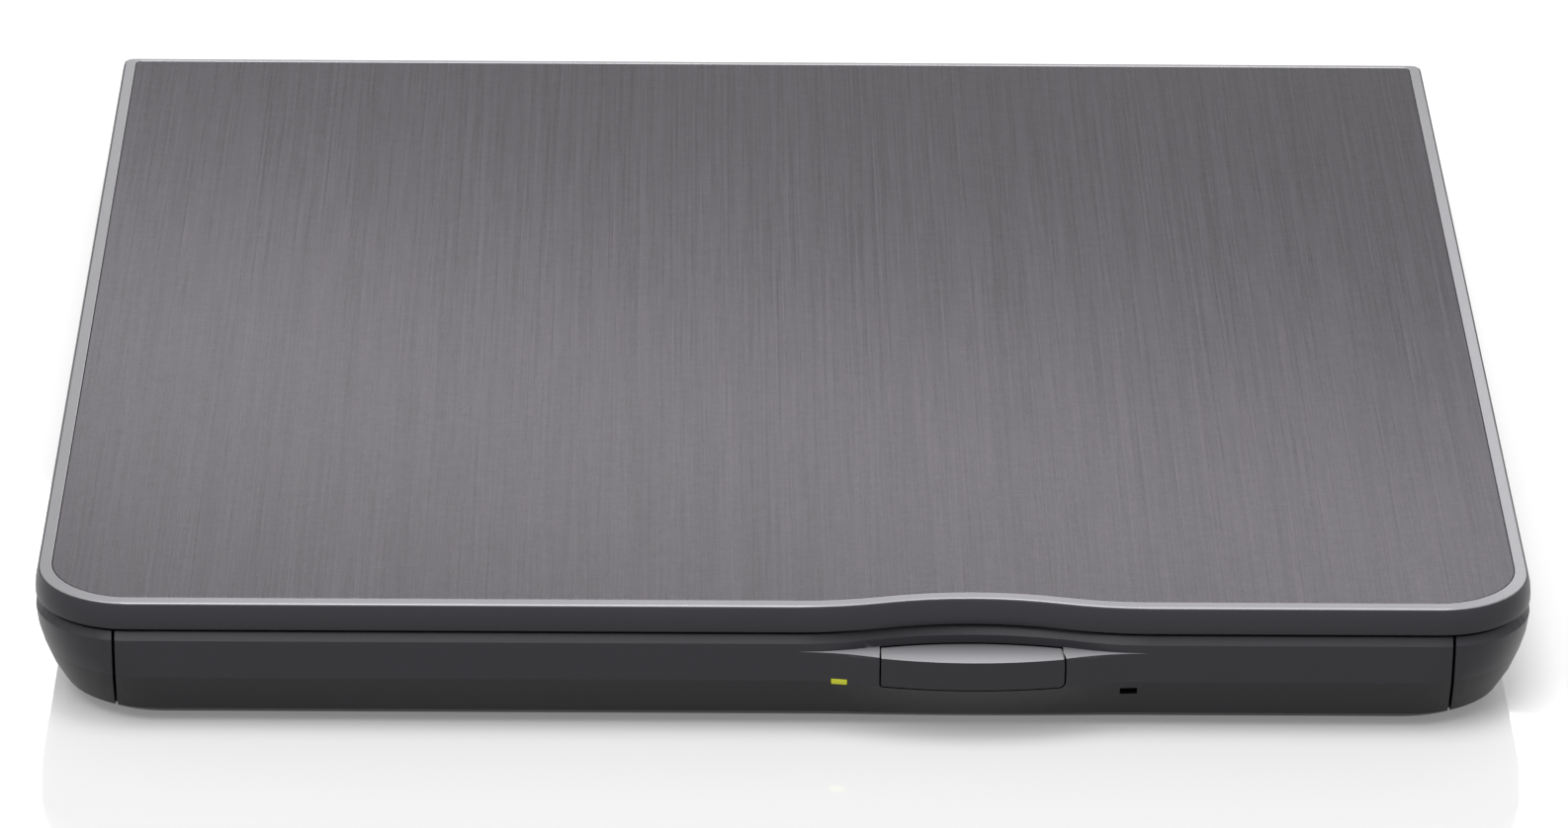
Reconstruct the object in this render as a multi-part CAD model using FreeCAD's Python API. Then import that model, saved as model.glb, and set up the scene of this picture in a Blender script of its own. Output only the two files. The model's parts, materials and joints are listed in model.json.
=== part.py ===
import FreeCAD, Part
import math
import os

# Slim external optical disc drive with a sliding tray, in millimetres.
# X is to the right, Y runs from the front to the back and Z is up.
# The origin is on the surface it stands on, in the middle of its footprint.

V = FreeCAD.Vector

# The disc that it plays
disc_radius = 60.0
disc_thickness = 1.2
disc_hole_radius = 7.5

# Heights of the stack, from the table up
foot_height = 1.15
floor_wall = 1.2
drive_pad = 0.2
sheet = 0.4
flex_room = 0.55
tray_sheet = 0.3
mechanism_room = 4.3
recess_floor = 0.8
disc_lift = 0.6
lid_clearance = 0.6
roof_gap = 0.3
roof_wall = 1.35
plate_thickness = 0.6
plate_sink = 0.05

# Widths, from the disc out
recess_clearance = 0.5
side_rim = 2.4
tray_side_gap = 0.7
lid_gap = 0.05
bezel_lap = 1.65
side_room = 10.0

# Depths, from the front to the back
bezel_thickness = 4.0
front_rim = 2.2
rear_rim = 0.8
tray_rear_gap = 1.5
bridge_room = 12.2

# Outside of the case
front_corner = 9.5
crease_corner = 11.0
rear_corner = 1.0
case_wall = 1.9
seam_gap = 0.4
seam_depth = 1.2
side_seam = 0.3
bevel_height = 0.8
bevel_depth = 0.55
crease_drop = 4.8
undercut_front = 1.9
undercut_side = 3.0
undercut_rear = 1.5
bottom_round = 0.6
bottom_round_depth = 0.45
jamb = 1.5

# Upper cover, trim ring and plate
band_round = 0.35
band_round_height = 1.8
band_edge = 0.12
ring_inset = 0.45
ring_front = 0.95
ring_side = 1.2
ring_rear = 1.15
ring_drop = 0.22
ring_edge = 0.1
ring_inner_front_corner = 8.3
ring_inner_rear_corner = 0.7
plate_joint = 0.06

# Wave over the button and the button itself
wave_x = 18.5
wave_half_width = 17.3
cover_wave = 2.1
cover_wave_share = 0.5
ledge_wave = 2.3
bulge = 2.0
bulge_share = 0.62
ledge_drop = 1.65
ledge_fall = 0.55
ledge_round = 0.3
button_width = 18.0
button_gap = 0.18
button_travel = 0.35
button_top_gap = 0.08
button_corner = 0.6
button_left_corner = 0.2
button_skirt = 0.8
button_pocket = 3.0
button_wing = 1.2
button_wing_thickness = 0.7

# Status light and emergency eject hole
light_x = 5.4
light_width = 1.55
light_height = 0.6
light_fit = 0.05
release_hole_x = 33.9
release_hole_width = 1.7
release_hole_height = 0.8
release_hole_drop = 0.75

# Fastening of the case
boss_radius = 2.6
boss_front = 13.0
boss_rear = 10.0
screw_radius = 1.0
screw_head_radius = 1.9
screw_head = 0.9
screw_fit = 0.1
thread_fit = 0.02
counterbore = 1.7
foot_radius = 5.0
foot_sunk = 0.4
foot_edge = 12.0
rib_width = 1.6

# Telescopic rails
guide_lip = 0.75
guide_web = 0.8
rail_gap = 0.25
rail_sheet = 0.4
rail_depth = 2.35
tongue_thickness = 1.5
rail_front = 4.0
rail_rear = 1.7

# Tray
tray_wall = 1.2
rim_roof = 1.2
tray_cut_share = 0.4
tray_cut_margin = 5.0
finger_radius = 9.0
bottom_cover_back = 9.0
lane_inset = 9.9
lane_width = 5.2

# Traverse unit: u runs from the spindle to the front left corner, v across it
traverse_angle = 225.0
traverse_back = 20.0
frame_side = 2.3
frame_end = 2.5
frame_far_side = 4.7
traverse_gap = 0.5
traverse_corner = 5.0
frame_thickness = 2.2
frame_floor = 0.7
cover_sink = 0.2
carriage_window_start = 14.0
carriage_clearance = 0.5
shaft_radius = 1.0
shaft_fit = 0.03
shaft_bed = 4.0
main_shaft_v = -13.0
sub_shaft_v = 15.5
shaft_height = 1.3
damper_radius = 3.0
damper_flange = 0.6
ear_thickness = 1.2
ear_radius = 4.0
damper_waist = 2.0
damper_screw_radius = 0.8
damper_reach = 3.6
damper_share = 0.576

# Spindle and turntable
rotor_radius = 11.5
rotor_wall = 1.1
rotor_top = 0.7
rotor_gap = 0.9
stator_gap = 0.5
spindle_plate_radius = 15.0
spindle_plate = 0.5
bearing_radius = 2.4
platform_radius = 14.5
platform_gap = 0.8
friction_ring_width = 3.6
friction_ring_height = 0.5
friction_ring_edge = 0.3
hub_clearance = 0.1
hub_proud = 0.25
hub_chamfer = 0.35
claw_seat = 0.65
claw_width = 2.6
claw_fit = 0.2
claw_count = 3
claw_reach = 0.3
claw_retract = 0.45
claw_length = 3.4

# Pickup, lead screw and sled motor
lens_start = 23.5
lens_to_edge = 2.5
carriage_behind = 8.0
carriage_ahead = 5.5
carriage_lift = 0.4
carriage_top_gap = 0.3
bearing_block = 2.0
actuator_behind = 6.0
actuator_ahead = 5.0
actuator_half = 7.5
actuator_height = 0.6
lens_radius = 2.3
lens_proud = 0.25
slot_side_gap = 0.7
lead_screw_v = -16.6
lead_screw_radius = 1.0
lead_screw_margin = 1.5
lead_journal = 0.5
follower_gap = 0.3
screw_gap = 0.6
follower_start = 2.0
follower_length = 5.0
sled_motor_radius = 3.0
sled_motor_length = 9.0
sled_motor_flat = 1.8
bracket_sheet = 0.5

# Latch, solenoid and ejector
pin_radius = 1.5
pin_height = 3.4
pivot_inset = 5.0
pivot_back = 21.0
pivot_radius = 1.2
lever_hub = 2.4
lever_thickness = 1.8
lever_lift = 0.8
hook_length = 12.2
hook_width = 2.2
hook_gap = 0.2
hook_tooth = 2.0
link_arm = 6.5
tab_reach = 12.0
solenoid_width = 5.0
solenoid_length = 11.0
solenoid_gap = 6.0
plunger_radius = 1.2
link_pin_radius = 0.6
link_gap = 0.3
ejector_radius = 1.0
ejector_spring_radius = 1.7
ejector_inset = 3.6
ejector_length = 27.0
ejector_clearance = 0.05

# Boards and connectors
board_thickness = 0.8
board_lift = 0.6
board_edge = 0.5
board_right_inset = 19.0
board_tongue = 13.0
board_to_spindle = 14.0
board_tip = 1.3
board_tongue_depth = 8.0
board_damper_gap = 1.25
switch_width = 4.0
switch_depth = 3.3
switch_gap = 0.6
plunger_width = 1.4
plunger_height = 1.2
stem_width = 1.8
stem_height = 1.6
stem_fit = 0.25
chip_height = 1.2
chip_row_start = 1.5
chip_row_pitch = 3.6
flex_width = 10.0
flex_thickness = 0.12
flex_inset = 2.5
flex_fold = 58.0
rear_board_lift = 2.0
rear_board_gap = 1.0
plug_width = 22.0
plug_depth = 4.8
plug_height = 3.2
plug_tongue = 4.4
plug_tongue_thickness = 1.2
plug_inset = 3.9
plug_board_side = 5.0
plug_fit = 0.15
bridge_thickness = 1.0
bridge_edge = 0.4
bridge_post_edge = 2.1
socket_depth = 6.0
usb_inset = 22.0
usb_width = 7.7
usb_height = 3.9
usb_depth = 9.0
usb_recess = 0.8
usb_wall = 0.35
usb_margin = 0.5
usb_tongue_thickness = 0.9

# Levels
z_case = foot_height
z_floor = z_case + floor_wall
z_chassis = z_floor + drive_pad
z_pan = z_chassis + sheet
z_tray_sheet = z_pan + flex_room
z_tray = z_tray_sheet + tray_sheet
z_deck = z_tray + mechanism_room
z_recess = z_deck + recess_floor
z_disc = z_recess + disc_lift
z_rim = z_disc + disc_thickness
z_lid = z_rim + lid_clearance
z_lid_top = z_lid + sheet
z_roof = z_lid_top + roof_gap
z_roof_top = z_roof + roof_wall
z_plate = z_roof_top + plate_thickness
z_top = z_plate + plate_sink
z_band = z_rim + seam_gap
z_turn = z_rim - bevel_height
z_ledge = z_rim - ledge_drop
z_crease = z_rim - crease_drop

# Places across and along
recess_radius = disc_radius + recess_clearance
tray_half = recess_radius + side_rim
chassis_half_in = tray_half + tray_side_gap
chassis_half = chassis_half_in + sheet
lid_half_in = chassis_half + lid_gap
lid_half = lid_half_in + sheet
case_half = chassis_half + side_room
bezel_half = chassis_half + bezel_lap
opening_half = bezel_half + side_seam
chassis_depth = front_rim + 2 * recess_radius + rear_rim + tray_rear_gap + sheet
case_depth = bezel_thickness + chassis_depth + bridge_room + case_wall
y_front = bulge - (case_depth + bulge) / 2
y_rear = y_front + case_depth
y_bezel = y_front + bezel_thickness
y_disc = y_bezel + front_rim + recess_radius
y_tray = y_disc + recess_radius + rear_rim
y_pan_back = y_tray + tray_rear_gap
y_chassis = y_pan_back + sheet
y_case_back = y_rear - case_wall
y_pan_front = y_bezel + side_seam
y_tray_front = y_bezel + tray_wall

# Telescopic rail section
z_guide_top = z_pan + 2 * (guide_lip + rail_gap + rail_sheet + rail_gap) + tongue_thickness
z_rail = z_pan + guide_lip + rail_gap
z_tongue = z_rail + rail_sheet + rail_gap
rail_height = tongue_thickness + 2 * (rail_gap + rail_sheet)
rail_outer = chassis_half_in - guide_web - rail_gap
rail_web = rail_outer - rail_sheet
rail_inner = rail_outer - rail_depth
body_half = rail_inner - rail_gap
tongue_half = rail_web - rail_gap

# Traverse unit places
lens_travel = disc_radius - lens_to_edge - lens_start
carriage_window_end = lens_start + lens_travel + carriage_ahead + carriage_clearance
traverse_front = carriage_window_end + frame_end
traverse_half = sled_motor_radius + traverse_gap + frame_side - lead_screw_v
damper_u = damper_share * traverse_front
follower_u = lens_start - carriage_behind + follower_start
lead_screw_end = follower_u + follower_length + lens_travel + lead_screw_margin

# Traverse unit levels
z_frame = z_tray + frame_floor
z_frame_top = z_frame + frame_thickness
z_shaft = z_frame + shaft_height
z_cover_top = z_recess - cover_sink
z_cover = z_cover_top - sheet
z_spindle_plate = z_frame - spindle_plate
z_carriage = z_tray + carriage_lift
z_carriage_top = z_cover - carriage_top_gap
z_lead = z_spindle_plate + sled_motor_flat
z_ring = z_disc - friction_ring_height
z_rotor_top = z_ring - platform_gap + 0.1
z_hub = z_disc + disc_thickness + hub_proud
hub_radius = disc_hole_radius - hub_clearance

# Boards, latch and connectors
lane_x = body_half - lane_inset
pivot_x = lane_x - pivot_inset
board_y0 = y_tray_front + board_edge
board_y1 = y_disc - board_to_spindle
board_right = lane_x - board_right_inset
board_damper_side = traverse_half + damper_reach + ear_radius + board_damper_gap
board_diagonal = board_damper_side * math.sqrt(2) - y_disc
board_left = board_y0 + board_diagonal + board_tip
flex_left = board_right + flex_inset
plug_right = plug_width + plug_inset - body_half
tray_cut_x = tray_cut_margin + plug_board_side + plug_right
tray_cut_y = tray_cut_share * recess_radius
bridge_half = body_half
usb_x = bridge_half - usb_inset
z_board = z_tray + board_lift
z_board_top = z_board + board_thickness
z_rear_board = z_pan + rear_board_lift
z_rear_board_top = z_rear_board + board_thickness
z_plug_tongue = z_rear_board_top + (plug_height - plug_tongue_thickness) / 2
z_bridge_top = z_rear_board_top - usb_margin
z_bridge = z_bridge_top - bridge_thickness


def box(x0, x1, y0, y1, z0, z1):
    return Part.makeBox(x1 - x0, y1 - y0, z1 - z0, V(x0, y0, z0))


def cylinder(x, y, z0, z1, radius):
    return Part.makeCylinder(radius, z1 - z0, V(x, y, z0))


def tube(x, y, z0, z1, outer, inner):
    return cylinder(x, y, z0, z1, outer).cut(cylinder(x, y, z0, z1, inner))


def rod(y0, y1, x, z, radius):
    return Part.makeCylinder(radius, y1 - y0, V(x, y0, z), V(0, 1, 0))


def axle(u0, u1, v, z, radius):
    return Part.makeCylinder(radius, u1 - u0, V(u0, v, z), V(1, 0, 0))


def join(shapes):
    return shapes[0].multiFuse(shapes[1:]).removeSplitter()


def prism(wire, z0, z1):
    face = Part.Face(wire)
    face.translate(V(0, 0, z0))
    return face.extrude(V(0, 0, z1 - z0))


def polygon(points):
    corners = [V(x, y, 0) for x, y in points]
    return Part.makePolygon(corners + corners[:1])


def rounded(points, radii):
    """A closed wire through the points, with an arc of its own radius at each."""
    corners = [V(x, y, 0) for x, y in points]
    ends = []
    for i, corner in enumerate(corners):
        before = (corners[i - 1] - corner).normalize()
        after = (corners[(i + 1) % len(corners)] - corner).normalize()
        half = before.getAngle(after) / 2
        inward = (before + after).normalize()
        reach = radii[i] / math.tan(half)
        middle = corner + inward * (radii[i] / math.sin(half) - radii[i])
        ends.append((corner + before * reach, middle, corner + after * reach))
    edges = []
    for i, (start, middle, end) in enumerate(ends):
        edges.append(Part.LineSegment(ends[i - 1][2], start).toShape())
        edges.append(Part.Arc(start, middle, end).toShape())
    return Part.Wire(edges)


def rounded_box(x0, x1, y0, y1, z0, z1, radius):
    corners = [(x0, y0), (x1, y0), (x1, y1), (x0, y1)]
    return prism(rounded(corners, [radius] * 4), z0, z1)


def upright(wire, y0, y1):
    """The wire, drawn in X and Z, made solid from y0 to y1."""
    solid = prism(wire, -y1, -y0)
    solid.rotate(V(0, 0, 0), V(1, 0, 0), 90)
    return solid


def screw(x, y, z_head, z_tip, radius, head_radius, head):
    """A screw that points up, with a cross in its head."""
    body = cylinder(x, y, z_head, z_head + head, head_radius)
    body = join([body, cylinder(x, y, z_head, z_tip, radius)])
    arm = head_radius * 0.6
    half = head_radius * 0.13
    depth = head * 0.5
    cross = box(x - arm, x + arm, y - half, y + half, z_head, z_head + depth)
    cross = cross.fuse(box(x - half, x + half, y - arm, y + arm, z_head, z_head + depth))
    return body.cut(cross)


def wave(inset, depth, share):
    """The front edge over the button: three arcs that leave the straight front and come back to it."""
    side = 1 if depth > 0 else -1
    angle = 2 * math.atan(abs(depth) / wave_half_width)
    both = wave_half_width / math.sin(angle)
    middle = share * both
    end = (1 - share) * both
    end_y = y_front + side * end
    middle_y = y_front + depth - side * middle
    end_radius = end - side * inset
    middle_radius = middle + side * inset

    def end_point(turn, way):
        x = wave_x + way * (wave_half_width - end_radius * math.sin(turn))
        return V(x, end_y - side * end_radius * math.cos(turn), 0)

    def middle_point(turn):
        return V(wave_x + middle_radius * math.sin(turn), middle_y + side * middle_radius * math.cos(turn), 0)

    return [
        Part.Arc(end_point(0, -1), end_point(angle / 2, -1), end_point(angle, -1)).toShape(),
        Part.Arc(middle_point(-angle), middle_point(0), middle_point(angle)).toShape(),
        Part.Arc(end_point(angle, 1), end_point(angle / 2, 1), end_point(0, 1)).toShape(),
    ]


def corner_arc(x, y, radius, start):
    points = [V(x + radius * math.cos(a), y + radius * math.sin(a), 0)
              for a in (math.radians(start + turn) for turn in (0, 45, 90))]
    return Part.Arc(*points).toShape()


def outline(front, side, rear, front_radius, rear_radius, depth=0, share=0.5):
    """The case seen from above, drawn in from its widest by front, side and rear."""
    x = case_half - side
    y0 = y_front + front
    y1 = y_rear - rear
    left = V(front_radius - x, y0, 0)
    right = V(x - front_radius, y0, 0)
    if depth:
        arcs = wave(front, depth, share)
        edges = [Part.LineSegment(left, V(wave_x - wave_half_width, y0, 0)).toShape()]
        edges += arcs
        edges.append(Part.LineSegment(V(wave_x + wave_half_width, y0, 0), right).toShape())
    else:
        edges = [Part.LineSegment(left, right).toShape()]
    edges.append(corner_arc(x - front_radius, y0 + front_radius, front_radius, 270))
    edges.append(Part.LineSegment(V(x, y0 + front_radius, 0), V(x, y1 - rear_radius, 0)).toShape())
    edges.append(corner_arc(x - rear_radius, y1 - rear_radius, rear_radius, 0))
    edges.append(Part.LineSegment(V(x - rear_radius, y1, 0), V(rear_radius - x, y1, 0)).toShape())
    edges.append(corner_arc(rear_radius - x, y1 - rear_radius, rear_radius, 90))
    edges.append(Part.LineSegment(V(-x, y1 - rear_radius, 0), V(-x, y0 + front_radius, 0)).toShape())
    edges.append(corner_arc(front_radius - x, y0 + front_radius, front_radius, 180))
    return Part.Wire(edges)


def lofted(sections):
    """A solid through wires at their heights, straight from each to the next."""
    wires = []
    for z, wire in sections:
        lifted = wire.copy()
        lifted.translate(V(0, 0, z))
        wires.append(lifted)
    return Part.makeLoft(wires, True, True)


def drawn_in(z, undercut):
    """How far a flat side below the crease stands in at the height z."""
    below = max(z_crease - z, 0) / (z_crease - z_case)
    corner = max(z_case + bottom_round - z, 0) / bottom_round
    return undercut * below + bottom_round_depth * corner


def curved_in(z, undercut):
    """How far a side that curves in below the bevel stands in at the height z."""
    height = z_turn - z_case
    radius = (height ** 2 + undercut ** 2) / (2 * undercut)
    corner = max(z_case + bottom_round - z, 0) / bottom_round
    return radius - math.sqrt(radius ** 2 - (z_turn - z) ** 2) + bottom_round_depth * corner


def lower_section(z, wall):
    low = max(z_crease - z, 0) / (z_crease - z_case)
    high = 1 - low if z < z_crease else (z_turn - z) / (z_turn - z_crease)
    radius = front_corner + (crease_corner - front_corner) * high
    return outline(drawn_in(z, undercut_front) + wall, curved_in(z, undercut_side) + wall,
                   drawn_in(z, undercut_rear) + wall, radius - wall, max(rear_corner, wall) - wall + 0.3)


def lower_levels(start):
    return [start, start + bottom_round, (start + bottom_round + z_crease) / 2, z_crease,
            (z_crease + z_turn) / 2, z_turn]


def lower_form():
    """The outside of the lower case as one block, corners and bezel included."""
    sections = [(z, lower_section(z, 0)) for z in lower_levels(z_case)]
    sections.append((z_rim, outline(bevel_depth, bevel_depth, bevel_depth, front_corner - bevel_depth,
                                    rear_corner + 0.3 - bevel_depth)))
    return lofted(sections)


def boss_places():
    x = (lid_half + case_half - case_wall) / 2
    return [(side * x, y) for side in (-1, 1) for y in (y_front + boss_front, y_rear - boss_rear)]


def foot_places():
    x = case_half - undercut_side - foot_edge
    return [(side * x, y) for side in (-1, 1) for y in (y_front + foot_edge, y_rear - foot_edge)]


def make_lower_case():
    z_split = z_turn - bevel_height
    cavity = lofted([(z, lower_section(z, case_wall)) for z in lower_levels(z_floor)])
    cavity = cavity.fuse(prism(lower_section(z_turn, case_wall), z_turn, z_band))
    case = lower_form().cut(cavity)
    rim = prism(lower_section(z_turn, seam_depth), z_turn, z_band)
    case = case.fuse(rim.cut(cavity))
    case = case.cut(box(-opening_half, opening_half, y_front - bulge, y_pan_front, 0, z_top))
    for side in (-1, 1):
        inner, outer = sorted((side * opening_half, side * (opening_half + jamb)))
        post = box(inner, outer, y_front - bulge, y_pan_front + jamb, z_case, z_rim)
        case = case.fuse(post.common(lower_form()))
        for y in (y_front + boss_front * 2, y_disc, y_rear - boss_rear * 2 - bridge_room):
            inner, outer = sorted((side * (lid_half + lid_gap), side * (case_half - case_wall / 2)))
            rib = box(inner, outer, y, y + rib_width, z_floor - floor_wall / 2, z_split)
            case = case.fuse(rib.common(lower_form()))
        for y in (y_pan_front + foot_edge, y_chassis - foot_edge):
            inner, outer = sorted((side * (chassis_half - foot_edge), side * chassis_half))
            case = case.fuse(box(inner, outer, y, y + rib_width * 3, z_floor - drive_pad, z_chassis))
    for x, y in boss_places():
        case = case.fuse(cylinder(x, y, z_floor - floor_wall / 2, z_split, boss_radius))
        case = case.cut(cylinder(x, y, 0, z_split, screw_radius + screw_fit))
        case = case.cut(cylinder(x, y, 0, z_case + counterbore, screw_head_radius + screw_fit))
    for x, y in bridge_posts():
        case = case.fuse(cylinder(x, y, z_floor - floor_wall / 2, z_bridge, boss_radius))
        case = case.cut(cylinder(x, y, z_floor, z_bridge, damper_screw_radius + thread_fit))
    for x, y in foot_places():
        case = case.cut(cylinder(x, y, 0, z_case + foot_sunk, foot_radius))
    port = usb_profile(usb_margin)
    return case.cut(upright(port, y_case_back - 1, y_rear + 1)).removeSplitter()


def cover_section(inset, wall=0):
    return outline(inset + wall, inset + wall, inset + wall, front_corner - inset - wall,
                   max(rear_corner + 0.3 - inset - wall, 0.3), cover_wave, cover_wave_share)


def make_upper_cover():
    z_edge = z_top - ring_drop - ring_edge
    z_round = z_edge - band_round_height
    radius = (band_round_height ** 2 + band_round ** 2) / (2 * band_round)
    sections = [(z_band, cover_section(band_edge)), (z_band + band_edge, cover_section(0))]
    for part in (0, 0.4, 0.75, 1):
        rise = band_round_height * part
        sections.append((z_round + rise, cover_section(radius - math.sqrt(radius ** 2 - rise ** 2))))
    cover = lofted(sections)
    cover = cover.cut(prism(cover_section(0, case_wall), z_band, z_roof))
    cover = cover.cut(prism(cover_section(ring_inset), z_roof_top, z_top))
    z_split = z_turn - bevel_height
    for x, y in boss_places():
        cover = cover.fuse(cylinder(x, y, z_split, z_roof + roof_wall / 2, boss_radius))
        cover = cover.cut(cylinder(x, y, z_split, z_roof, screw_radius + thread_fit))
    return cover.removeSplitter()


def ring_inner(grow):
    inset = ring_inset + grow
    return outline(inset + ring_front, inset + ring_side, inset + ring_rear,
                   ring_inner_front_corner - grow, ring_inner_rear_corner, cover_wave, cover_wave_share)


def make_trim_ring():
    outer = cover_section(ring_inset)
    ring = prism(outer, z_roof_top, z_top - ring_drop)
    ring = ring.fuse(lofted([(z_top - ring_drop, outer), (z_top, ring_inner(0))]))
    return ring.cut(prism(ring_inner(0), z_roof_top - 1, z_top + 1)).removeSplitter()


def make_top_plate():
    return prism(ring_inner(plate_joint), z_roof_top, z_plate)


def make_rubber_feet():
    feet = []
    for x, y in foot_places():
        foot = cylinder(x, y, 0, z_case + foot_sunk, foot_radius)
        low = [edge for edge in foot.Edges if edge.BoundBox.ZMax < 0.01]
        feet.append(foot.makeChamfer(foot_sunk, low))
    return Part.makeCompound(feet)


def make_case_screws():
    head = z_case + counterbore - screw_head
    screws = [screw(x, y, head, z_roof - roof_gap, screw_radius, screw_head_radius, screw_head)
              for x, y in boss_places()]
    return Part.makeCompound(screws)


def bezel_section(z, inset, depth, share):
    edges = [Part.LineSegment(V(-bezel_half, y_front + inset, 0),
                              V(wave_x - wave_half_width, y_front + inset, 0)).toShape()]
    edges += wave(inset, depth, share)
    corners = [V(wave_x + wave_half_width, y_front + inset, 0), V(bezel_half, y_front + inset, 0),
               V(bezel_half, y_bezel, 0), V(-bezel_half, y_bezel, 0), V(-bezel_half, y_front + inset, 0)]
    for start, end in zip(corners, corners[1:]):
        edges.append(Part.LineSegment(start, end).toShape())
    return z, Part.Wire(edges)


def bowed_front():
    """The bezel from the crease up to the ledge, bowed forward over the button, where the ledge falls a little."""
    low = bezel_section(z_crease, 0, -bulge, bulge_share)
    high = bezel_section(z_ledge - ledge_round, 0, -bulge, bulge_share)
    top = bezel_section(z_ledge, 0, ledge_round - bulge, bulge_share)
    side = [(y_front, z_ledge), (y_front - 2 * bulge, z_ledge - 2 * ledge_fall),
            (y_front - 2 * bulge, z_rim), (y_front, z_rim)]
    side = Part.makePolygon([V(-bezel_half, y, z) for y, z in side + side[:1]])
    above = Part.Face(side).extrude(V(2 * bezel_half, 0, 0))
    return lofted([low, high, top]).cut(above)


def bezel_form():
    """The bezel as one block; its ends turn into the corners of the case."""
    bottom = bezel_section(z_case, drawn_in(z_case, undercut_front), -bulge / 8, bulge_share)
    z = z_case + bottom_round
    lower = bezel_section(z, drawn_in(z, undercut_front), -bulge / 5, bulge_share)
    crease = bezel_section(z_crease, 0, -bulge, bulge_share)
    upper = lofted([bezel_section(z_ledge, 0, ledge_wave, bulge_share),
                    bezel_section(z_turn, 0, ledge_wave, bulge_share),
                    bezel_section(z_rim, bevel_depth, ledge_wave, bulge_share)])
    whole = join([lofted([bottom, lower, crease]), bowed_front(), upper])
    straight = bezel_half - crease_corner
    middle = box(-straight, straight, y_front - 2 * bulge, y_bezel, z_case, z_rim)
    return join([whole.common(middle), whole.cut(middle).common(lower_form())])


def button_profile(gap):
    """The button seen from the front, grown by gap."""
    half = button_width / 2 + gap
    corners = [(wave_x - half, z_crease - gap), (wave_x + half, z_crease - gap),
               (wave_x + half, z_ledge + gap), (wave_x - half, z_ledge + gap)]
    small = button_left_corner + gap
    large = button_corner + gap
    return rounded(corners, [small, large, large, small])


def make_tray_bezel():
    bezel = bezel_form()
    opening = upright(button_profile(button_gap), y_front - 2 * bulge, y_front + button_pocket)
    opening = opening.common(box(-case_half, case_half, y_front - 2 * bulge, y_rear, 0, z_ledge))
    bezel = bezel.cut(opening)
    half = button_width / 2 + button_wing + button_gap
    back = y_front + button_pocket
    wing_front = back - button_wing_thickness - button_travel - button_gap
    wings = box(wave_x - half, wave_x + half, wing_front, back, z_crease + button_skirt, z_ledge - button_skirt)
    bezel = bezel.cut(wings)
    bezel = bezel.cut(stem(stem_fit, back - 1, y_bezel + 1))
    bezel = bezel.cut(light_pipe(light_fit))
    return bezel.cut(release_hole()).removeSplitter()


def stem(grow, y0, y1):
    x = stem_width / 2 + grow
    z = stem_height / 2 + grow
    middle = z_board_top + stem_height
    return box(wave_x - x, wave_x + x, y0, y1, middle - z, middle + z)


def make_eject_button():
    y_back = y_front + button_pocket - button_travel - 0.1
    body = upright(button_profile(0), y_front - 2 * bulge, y_back)
    body = body.common(box(-case_half, case_half, y_front - 2 * bulge, y_back, 0, z_ledge - button_top_gap))
    behind = box(-bezel_half, bezel_half, y_front + bulge / 4, y_bezel, z_crease - 1, z_ledge + 1)
    body = body.common(bowed_front().fuse(behind))
    shelf = bezel_section(0, -button_gap, ledge_wave, bulge_share)[1]
    body = body.cut(prism(shelf, z_ledge - button_skirt, z_top))
    half = button_width / 2 + button_wing
    wings = box(wave_x - half, wave_x + half, y_back - button_wing_thickness, y_back,
                z_crease + button_skirt + button_gap, z_ledge - button_skirt - button_gap)
    return join([body, wings, stem(0, y_back - 0.5, y_tray_front + board_edge / 2)])


def light_pipe(grow):
    x = light_width / 2 + grow
    z = light_height / 2 + grow
    return box(light_x - x, light_x + x, y_front - 2 * bulge, y_tray_front + board_edge * 2,
               z_crease - z, z_crease + z)


def make_status_light():
    front = bezel_form().fuse(box(-case_half, case_half, y_bezel - 1, y_rear, z_case, z_rim))
    return light_pipe(0).common(front)


def release_hole():
    x = release_hole_width / 2
    z = z_crease - release_hole_drop - release_hole_height / 2
    return box(release_hole_x - x, release_hole_x + x, y_front - 2 * bulge, y_tray_front + 1,
               z - release_hole_height / 2, z + release_hole_height / 2)


def make_drive_chassis():
    pan = box(-chassis_half, chassis_half, y_pan_front, y_chassis, z_chassis, z_lid)
    pan = pan.cut(box(-chassis_half_in, chassis_half_in, y_pan_front - 1, y_pan_back, z_pan, z_lid + 1))
    for x, y in rear_board_posts():
        pan = pan.fuse(cylinder(x, y, z_chassis, z_rear_board, boss_radius * 0.7))
    pan = pan.cut(cylinder(lane_x, lock_pin_y(), z_chassis, z_pan, pin_radius * 0.7))
    notch = plug_fit * 4
    pan = pan.cut(box(plug_right - plug_width - notch, plug_right + notch, y_pan_back - 1, y_chassis + 1,
                      z_rear_board_top - notch, z_rear_board_top + plug_height + notch))
    return pan.removeSplitter()


def make_drive_lid():
    lid = box(-lid_half, lid_half, y_pan_front, y_chassis + lid_gap + sheet, z_chassis, z_lid_top)
    lid = lid.cut(box(-lid_half_in, lid_half_in, y_pan_front - 1, y_chassis + lid_gap, 0, z_lid))
    z_skirt = z_rear_board_top + plug_height + plug_fit * 4
    lid = lid.cut(box(-case_half, case_half, y_front, y_rear, 0, min(z_skirt, z_lid - 1)))
    return lid.removeSplitter()


def lock_pin_y():
    return y_bezel + pivot_back - hook_length - pin_radius + 0.3


def make_lock_pin():
    y = lock_pin_y()
    flange = cylinder(lane_x, y, z_pan, z_pan + flex_room * 0.7, pin_radius * 1.6)
    rivet = cylinder(lane_x, y, z_chassis, z_pan, pin_radius * 0.7)
    return join([flange, rivet, cylinder(lane_x, y, z_pan, z_pan + pin_height, pin_radius)])


def rail_ends():
    return y_pan_front + rail_front, y_tray - rail_rear


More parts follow.
